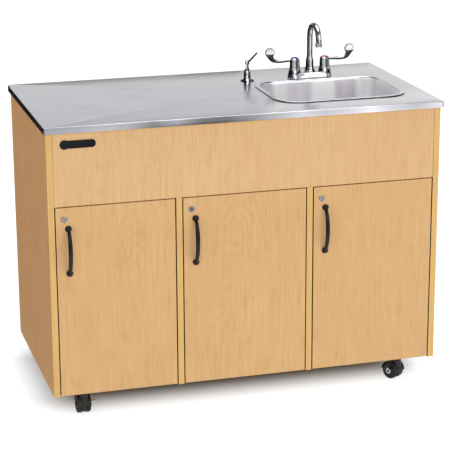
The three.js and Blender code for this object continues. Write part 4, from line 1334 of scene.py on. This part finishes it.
def barbs(shape, at, radius, length, look=0):
    profile = [(0, 0)]
    for i in range(3):
        z = length * (0.25 + 0.22 * i)
        profile += [(radius, z), (radius * 0.86, z + length * 0.14)]
    shape.turned([*profile, (radius * 0.8, length), (0, length)], look=look, at=at, sides=32)


tankLook = {"waste": ("cap_grey", "capGrey"), "fresh": ("cap_blue", "capBlue")}


def makeTank(kind):
    low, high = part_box(f"{kind}_tank")
    middle = (low + high) / 2
    halfX, halfY = (high.x - low.x) / 2, (high.y - low.y) / 2
    height = high.z - low.z - 0.022
    at = move(middle.x, middle.y, low.z)
    stations = [(0.012, 0), (0.0085, 0.0006), (0.004, 0.003), (0.001, 0.008), (0, 0.014)]
    ribs = 5
    pitch = (height - 0.11) / ribs
    for i in range(ribs):
        z = 0.05 + pitch * i
        stations += [
            (0, z), (0.0012, z + 0.003), (0.0042, z + 0.008), (0.0048, z + 0.012), (0.0042, z + 0.016),
            (0.0012, z + 0.021), (0, z + 0.024)
        ]
    stations += [
        (0, height - 0.03), (0.002, height - 0.02), (0.006, height - 0.011), (0.013, height - 0.004),
        (0.024, height - 0.0005), (0.034, height)
    ]
    shape = Shape().loft(cushion(halfX, halfY, 0.03, stations, 8), at=at)
    shape.turned([
        (0, height - 0.003), (0.029, height - 0.003), (0.0275, height + 0.002), (0.0262, height + 0.003),
        (0.0262, height + 0.0215), (0, height + 0.0215)
    ], at=at, sides=48)
    shape.thread(3, height + 0.005, 0.0045, 0.026, 0.027, 0.001, at=at)
    for side in (-1, 1):
        grip = curveThrough([
            (0, side * 0.062, height - 0.006), (0, side * 0.066, height + 0.008),
            (0, side * 0.085, height + 0.0155), (0, side * 0.108, height + 0.0155),
            (0, side * 0.127, height + 0.008), (0, side * 0.131, height - 0.008)
        ], 7)
        shape.sweep(grip, oval(0.013, 0.005, 20), (1, 0, 0), at=at)
    makePiece(
        f"{kind}_tank_blown", shape, "cabinet", "tank_plastic", ["tankPoly"], replaced=[f"{kind}_tank"],
        sharp=50
    )

    slotName, look = tankLook[kind]
    low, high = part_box(f"{kind}_tank_cap")
    at = move((low.x + high.x) / 2, (low.y + high.y) / 2, low.z)
    skirt = high.z - low.z - 0.014
    grip = (
        (0.0278, 0, 0), (0.0332, 0, 0), (0.034, 0.0008, 0.0011), (0.0336, skirt - 0.003, 0.0011),
        (0.0326, skirt - 0.001, 0.0003), (0.0305, skirt, 0), (0.022, skirt, 0)
    )
    cap = Shape().loft([toothed(r, z, -depth, 30) for r, z, depth in grip], at=at)
    nipple = 0.0158 if kind == "waste" else 0.007
    barbs(cap, at @ move(0, 0, skirt - 0.001), nipple, 0.0148)
    makePiece(
        f"{kind}_cap_moulded", cap, "cabinet", slotName, [look], replaced=[f"{kind}_tank_cap"], sharp=35
    )


def makeDrainHose():
    low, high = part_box("drain_hose")
    start = Vector((midOf("drain_tailpiece").x, midOf("drain_tailpiece").y, high.z))
    end = Vector((midOf("waste_tank_cap").x, midOf("waste_tank_cap").y, low.z))
    fall = Vector((0, 0, (high.z - low.z) / 5))
    path = curveThrough([start, start - fall, (start + end) / 2, end + fall, end], 14)

    def ridged(t):
        cuff = min(t, 1 - t) < 0.1
        radius = 0.0166 if cuff else 0.0152 + 0.0012 * math.cos(t * 2 * math.pi * 14)
        return radius, radius
    fine = curveThrough(path[::7], 24)
    shape = Shape().sweep(fine, oval(1, 1, 32), (1, 0, 0), scale=ridged)
    makePiece(
        "drain_hose_ribbed", shape, "cabinet", "grey_plastic", ["greyPlastic"], replaced=["drain_hose"],
        sharp=60
    )


def makeHoses():
    for node in ("suction_hose", "cold_supply_hose", "heater_feed_hose", "hot_supply_hose"):
        softened(node, node + "_smooth", "vinyl" if node == "suction_hose" else "braid", "hose_clear")
    ends = Shape()
    base = midOf("faucet_base")
    heater = midOf("water_heater")
    shankEnds = [(
        move(base.x + side * hubOut, base.y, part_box("faucet_base")[0].z), 0.003
    ) for side in (-1, 1)]
    ports = [(
        move(heater.x + side * 0.06, heater.y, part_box("water_heater")[1].z) @ turnBy(180, "X"), 0.002
    ) for side in (-1, 1)]
    for at, wider in shankEnds + ports:
        ends.tube(0.006 + wider, 0.0082 + wider, -0.016, -0.002, at=at, sides=6)
        ends.tube(0.005, 0.0068, -0.03, -0.016, at=at, sides=32)
    makePiece("hose_end_nuts", ends, "cabinet", "zinc_plated", ["zinc"], bevel=0.0003, sharp=30)


def makeHeater():
    low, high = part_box("water_heater")
    middle = (low + high) / 2
    halfX, halfY = (high.x - low.x) / 2, (high.y - low.y) / 2
    height = high.z - low.z - 0.02
    at = move(middle.x, middle.y, low.z)
    body = [
        (0.006, 0), (0.003, 0.0012), (0.003, 0.026), (0.0046, 0.027), (0.0046, 0.029), (0.0012, 0.03),
        (0.0006, 0.033), (0.0006, height - 0.04), (0.0012, height - 0.037), (0.0046, height - 0.036),
        (0.0046, height - 0.034), (0.0022, height - 0.033), (0.0022, height - 0.012),
        (0.004, height - 0.006), (0.009, height - 0.0015), (0.016, height)
    ]
    shape = Shape().loft(cushion(halfX, halfY, 0.028, body, 10), at=at)
    for side in (-1, 1):
        spot = at @ move(side * 0.06, 0, 0)
        shape.turned([
            (0, height - 0.001), (0.016, height - 0.001), (0.016, height + 0.0012),
            (0.014, height + 0.0024), (0, height + 0.0024)
        ], look=1, at=spot, sides=40)
        shape.rod(0.0088, height, height + 0.0198, look=2, at=spot, sides=32)
        shape.thread(4, height + 0.01, 0.0022, 0.0086, 0.009, 0.0006, look=2, at=spot, sides=32)
    front = -halfY + 0.0004
    plate = [(0.0, 0.0), (0.0, 0.001), (0.0012, 0.0016)]
    shape.loft([
        roundedRing(0.052 - inset, 0.04 - inset, 0.008, z, 6) for inset, z in plate
    ], look=1, at=at @ move(0, front + 0.0014, 0.096) @ turnBy(90, "X"))
    knobAt = at @ move(0, front + 0.0008, 0.096) @ turnBy(90, "X")
    shape.turned([
        (0, 0), (0.017, 0), (0.017, 0.0009), (0.015, 0.0011), (0, 0.0011)
    ], look=3, at=knobAt, sides=48)
    shape.block((-0.0022, -0.013, 0.0005), (0.0022, 0.013, 0.0012), look=3, at=knobAt @ turnBy(35, "Z"))
    for sx in (-1, 1):
        for sz in (-1, 1):
            shape.screw(0.003, at @ move(
                sx * 0.044, front, 0.096 + sz * 0.032
            ) @ turnBy(90, "X"), look=2, depth=0.0008)
    makePiece(
        "water_heater_jacketed", shape, "cabinet", "heater_jacket", ["jacket", "capGrey", "zinc", "dial"],
        replaced=["water_heater"], sharp=35
    )


def makePump():
    low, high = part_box("water_pump")
    h = 0.029  # half of the head
    y = high.y - 0.016 - h + 0.0003
    at = move(low.x + 0.015 + h, y, (high.z - 0.015 + low.z) / 2)
    shape = Shape()
    for x0, x1, inset in ((-h, -0.012, 0.0), (-0.0112, 0.0108, 0.0016), (0.0116, h, 0.0)):
        stations = [(x0, inset + 0.0015), (x0 + 0.0012, inset), (x1 - 0.0012, inset), (x1, inset + 0.0015)]
        shape.loft([
            [(x, u, v) for u, v, w in roundedRing(h - i, h - i, 0.009, 0, 6)] for x, i in stations
        ], at=at)
    for sy in (-1, 1):
        for sz in (-1, 1):
            shape.screw(0.0034, at @ move(
                -h, sy * 0.021, sz * 0.021
            ) @ turnBy(-90, "Y"), look=2, depth=0.001)
    motor = [
        (0, h - 0.002), (0.027, h - 0.001), (0.0278, h + 0.004), (0.027, h + 0.006), (0.0268, h + 0.016)
    ]
    for i in range(9):
        s = h + 0.018 + 0.0058 * i
        motor += [(0.0268, s), (0.0279, s + 0.0006), (0.0279, s + 0.0034), (0.0268, s + 0.004)]
    motor += [
        (0.0268, h + 0.074), (0.0276, h + 0.076), (0.0272, h + 0.087), (0.024, h + 0.0898), (0, h + 0.0899)
    ]
    shape.turned(motor, look=1, at=at @ turnBy(90, "Y"), sides=56)
    foot = high.y - y
    for x0 in (h + 0.004, h + 0.062):
        shape.loft([[(x, u, v) for u, v in ((0.016, -0.0195), (foot - 0.004, -0.0195),
                                            (foot - 0.0012, -0.0150),
                                            (foot - 0.0012, 0.0150), (foot - 0.004, 0.0195), (0.016, 0.0195))]
                    for x in (x0, x0 + 0.016)], look=3, at=at)
    reach = h + 0.015
    for turn in (turnBy(90, "X"), Matrix(), turnBy(-90, "Y")):
        spot = at @ turn
        shape.rod(0.0105, h - 0.001, h + 0.004, at=spot, sides=6)
        barbs(shape, spot @ move(0, 0, h + 0.003), 0.007, reach - h - 0.0032)
    makePiece(
        "water_pump_detailed", shape, "cabinet", "black_plastic", ["blackPlastic", "dial", "zinc", "tyre"],
        replaced=["water_pump"], bevel=0.0003, sharp=35
    )


for kind in tankLook:
    makeTank(kind)
makeDrainHose()
makeHoses()
makeHeater()
makePump()


def makeGland():
    low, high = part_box("power_cord_gland")
    at = move((low.x + high.x) / 2, 0, (low.z + high.z) / 2) @ turnBy(-90, "X")
    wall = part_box("back_panel")[1].y
    shape = Shape().tube(0.0046, 0.0079, low.y, wall + 0.0002, at=at, sides=40)
    shape.tube(0.0046, 0.0139, wall + 0.0003, wall + 0.0032, at=at, sides=6)
    shape.turned([
        (0.0046, wall + 0.003), (0.0118, wall + 0.003), (0.0112, wall + 0.006), (0.009, wall + 0.0088),
        (0.0068, high.y), (0.0046, high.y)
    ], at=at, sides=40, looped=True)
    makePiece(
        "cord_gland_moulded", shape, "cabinet", "black_plastic", ["blackPlastic"],
        replaced=["power_cord_gland"], bevel=0.0003, sharp=35
    )


makeGland()
print("water system made")


# Casters

caster = {
    "trail": 0.016, "wheelRadius": 0.027, "web": 0.011, "wheelWidth": 0.0155, "hoodInside": 0.0283,
    "hoodOutside": 0.0313, "height": 0.084, "flange": 0.024, "flangeHeight": 0.007, "neck": 0.013
}
casterTurn = {"front_left": (0, 1), "front_right": (30, -1), "back_left": (-12, 0), "back_right": (8, 0)}


def hoodPiece(name, at):
    c = caster
    r, trail = c["wheelRadius"], c["trail"]
    halfWidth = c["web"] / 2 + c["wheelWidth"]
    axle = at @ move(0, trail, r) @ turnBy(90, "Y")
    out = c["hoodOutside"]
    shell = loose(name, Shape().turned([(0, -halfWidth), (out - 0.0012, -halfWidth),
                                        (out, -halfWidth + 0.0012),
                                        (out, halfWidth - 0.0012), (out - 0.0012, halfWidth), (0, halfWidth)],
                                       at=axle, sides=64))
    topZ = c["height"] - 0.0003
    neck = Shape().turned([
        (0, r + 0.012), (c["neck"], r + 0.012), (c["neck"], topZ - 0.01), (0.015, topZ - 0.0075),
        (0.0225, topZ - c["flangeHeight"] + 0.001), (c["flange"], topZ - 0.005),
        (c["flange"], topZ - 0.0006), (c["flange"] - 0.0006, topZ), (0, topZ)
    ], at=at, sides=56)
    room = Shape().rod(c["hoodInside"], -halfWidth - 0.002, halfWidth + 0.002, at=axle, sides=64)
    below = Shape().block((-0.05, -0.06, -0.03), (0.05, 0.07, r + 0.002), at=at)
    combine(shell, [loose("neck", neck)], "UNION")
    combine(shell, [loose("room", room), loose("below", below)], "DIFFERENCE")
    webHalf = c["web"] / 2 - 0.0007
    web = loose("web", Shape().tube(0.0045, c["hoodInside"] + 0.001, -webHalf, webHalf, at=axle, sides=64))
    floorRoom = Shape().block((-0.05, -0.06, -0.03), (0.05, 0.07, 0.009), at=at)
    combine(web, [loose("floorRoom", floorRoom)], "DIFFERENCE")
    combine(shell, [web], "UNION")
    return shell


def makeCaster(corner, turn, brakeSide):
    c = caster
    wheelMiddle = midOf(f"caster_wheel_{corner}")
    swing = math.radians(turn)
    axisX = wheelMiddle.x + c["trail"] * math.sin(swing)
    axisY = wheelMiddle.y - c["trail"] * math.cos(swing)
    at = move(axisX, axisY, 0) @ turnBy(turn, "Z")
    hood = hoodPiece(f"caster_hood_{corner}_moulded", at)
    settle(
        hood, f"caster_{corner}", "black_plastic", ["blackPlastic"], replaced=[f"caster_hood_{corner}"],
        bevel=0.0005, sharp=35
    )
    r = c["wheelRadius"]
    axle = at @ move(0, c["trail"], r) @ turnBy(90, "Y")
    near = c["web"] / 2
    far = near + c["wheelWidth"]
    wheel = Shape()
    for side in (-1, 1):
        tread = [
            (0.0198, near), (r - 0.0012, near), (r, near + 0.0012), (r, far - 0.004),
            (r - 0.0008, far - 0.002), (r - 0.0026, far - 0.0006), (r - 0.0046, far), (0.0198, far - 0.0004)
        ]
        disc = [
            (0.0, near), (0.02, near), (0.02, far - 0.0006), (0.0188, far - 0.0012), (0.0176, far - 0.003),
            (0.013, far - 0.0042), (0.0095, far - 0.004), (0.0078, far - 0.0012), (0.0066, far),
            (0.0041, far + 0.0002), (0.004, far + 0.0038), (0, far + 0.0039)
        ]
        wheel.turned([(rr, side * s) for rr, s in tread], look=0, at=axle, sides=64, looped=True)
        wheel.turned([(rr, side * s) for rr, s in disc], look=1, at=axle, sides=64)
        for i in range(6):
            spoke = axle @ turnBy(60 * i, "Z")
            s0, s1 = sorted((side * (far - 0.0055), side * (far - 0.0014)))
            wheel.block((0.0068, -0.0011, s0), (0.0186, 0.0011, s1), look=1, at=spoke)
    wheel.rod(0.0039, -near, near, look=2, at=axle, sides=32)
    makePiece(
        f"caster_wheel_{corner}_tyred", wheel, f"wheel_{corner}", "tyre", ["tyre", "hubcap", "zinc"],
        replaced=[f"caster_wheel_{corner}"], sharp=30
    )
    if brakeSide:
        piece = copied(f"brake_lever_{corner}", f"brake_lever_{corner}_pressed")
        settle(
            piece, f"brake_{corner}", "zinc_plated", ["zinc"], replaced=[f"brake_lever_{corner}"],
            bevel=0.0006, sharp=30
        )


for corner, (turn, brakeSide) in casterTurn.items():
    makeCaster(corner, turn, brakeSide)
print("casters made")


# Studio

studio = {
    "horizon": 0.95, "sky": 0.22, "floorSize": 60, "floorTone": (0.3, 0.33, 0.37), "nearGlow": 0.0,
    "farGlow": 0.98, "shadowReach": 0.22, "key": 43, "overhead": 80, "fill": 4
}
# Dark cards that only the shiny pieces see: middle and half width in degrees round the cabinet from
# its front, distance, bottom and top.
cards = {
    "cardLeft": (-84, 20, 2.4, 0.0, 1.1), "cardFrontLeft": (-36, 12, 2.6, 0.0, 1.1),
    "cardFront": (7, 7, 2.4, 0.0, 0.5), "cardRight": (68, 22, 2.4, 0.0, 1.1),
    "cardBack": (-176, 22, 2.0, 0.0, 1.0), "cardBackLeft": (-134, 20, 2.0, 0.0, 1.1)
}


def aimed(name, place, target, size, power, tint=(1, 1, 1)):
    light = bpy.data.lights.new(name, "AREA")
    light.shape = "RECTANGLE"
    light.size, light.size_y = size
    light.energy = power
    light.color = tint
    made = linked(name, light)
    made.location = place
    made.rotation_euler = (Vector(target) - Vector(place)).to_track_quat("-Z", "Y").to_euler()


def makeWorld():
    world = bpy.data.worlds.new("studio")
    world.use_nodes = True
    bpy.context.scene.world = world
    graph = Graph(world.node_tree)
    direction = graph.node("ShaderNodeTexCoord", output="Generated")
    height = graph.node("ShaderNodeSeparateXYZ", values={0: direction}, output=2)
    low, high = [rgb(*[studio[key]] * 3) for key in ("horizon", "sky")]
    stops = [(0.0, low), (0.4, low), (0.58, high), (1.0, high)]
    colour = graph.node("ShaderNodeValToRGB", {"stops": stops}, {0: height})
    seen = graph.node("ShaderNodeLightPath")
    colour = graph.mix(seen, colour, rgb(1, 1, 1))
    graph.feed(world.node_tree.nodes["Background"].inputs["Color"], colour)


def paintFloor(graph):  # painted shadow: the glow fades out close to the cabinet, so that its shadow shows there and is deepened
    x, y = graph.axes(graph.place())[:2]

    def past(value, edge):
        beyond = graph.node("ShaderNodeMath", {"operation": "ABSOLUTE"}, {0: value}) - edge
        return graph.node("ShaderNodeMath", {"operation": "MAXIMUM"}, {0: beyond, 1: 0.0})
    # painted shadow: the floor glows less within shadowReach of a box round the cabinet's foot
    away = (past(x, 0.48) ** 2 + past(y - 0.09, 0.17) ** 2) ** 0.5
    near, far = [rgb(*[studio[key]] * 3) for key in ("nearGlow", "farGlow")]
    return {"Emission Color": graph.mix(graph.between(away, 0.0, studio["shadowReach"]), near, far)}


def addCard(name, look, points, faces):
    mesh = bpy.data.meshes.new(name)
    mesh.from_pydata(points, [], faces)
    mesh.materials.append(look)
    made = linked(name, mesh)
    made.visible_camera = False
    made.visible_diffuse = False
    made.visible_shadow = False
    made.visible_transmission = False


def standing(name, look, azimuth, halfWidth, distance, low, high):
    steps = 6
    angles = [math.radians(azimuth + halfWidth * (2 * i / steps - 1)) for i in range(steps + 1)]
    ring = [(distance * math.sin(a), -distance * math.cos(a)) for a in angles]
    points = [(x, y, z) for z in (low, high) for x, y in ring]
    addCard(name, look, points, [(i, i + 1, steps + 2 + i, steps + 1 + i) for i in range(steps)])


def makeStudio():
    makeWorld()
    half = studio["floorSize"] / 2
    mesh = bpy.data.meshes.new("floor")
    mesh.from_pydata([
        (-half, -half, 0), (half, -half, 0), (half, half, 0), (-half, half, 0)
    ], [], [(0, 1, 2, 3)])
    floor = linked("floor", mesh)
    mesh.materials.append(newLook(
        "floorWhite", paintFloor,
        {
            "Base Color": rgb(*studio["floorTone"]), "Roughness": 0.85, "Emission Strength": 1.0,
            "Specular IOR Level": 0.0
        }
    ))
    aimed("key", (1.5, -4.6, 2.9), (0.1, 0, 0.5), (3.0, 2.4), studio["key"], (1, 0.99, 0.97))
    aimed("overhead", (0.4, 0.1, 3.6), (0.3, 0.05, 0.9), (2.6, 2.0), studio["overhead"])
    aimed("fill", (-3.4, -2.0, 2.2), (-0.3, 0, 0.5), (2.0, 2.0), studio["fill"])
    dark = newLook(
        "cardBlack", lambda graph: {"Base Color": rgb(0.004, 0.004, 0.005)},
        {"Roughness": 0.9, "Specular IOR Level": 0.0}
    )
    for name, shape in cards.items():
        standing(name, dark, *shape)
    flat = [(-3.0, -0.4, 0.004), (-0.66, -0.4, 0.004), (-0.66, 3.6, 0.004), (-3.0, 3.6, 0.004)]
    addCard("cardFloorLeft", dark, flat, [(0, 1, 2, 3)])


makeStudio()
print("studio made")
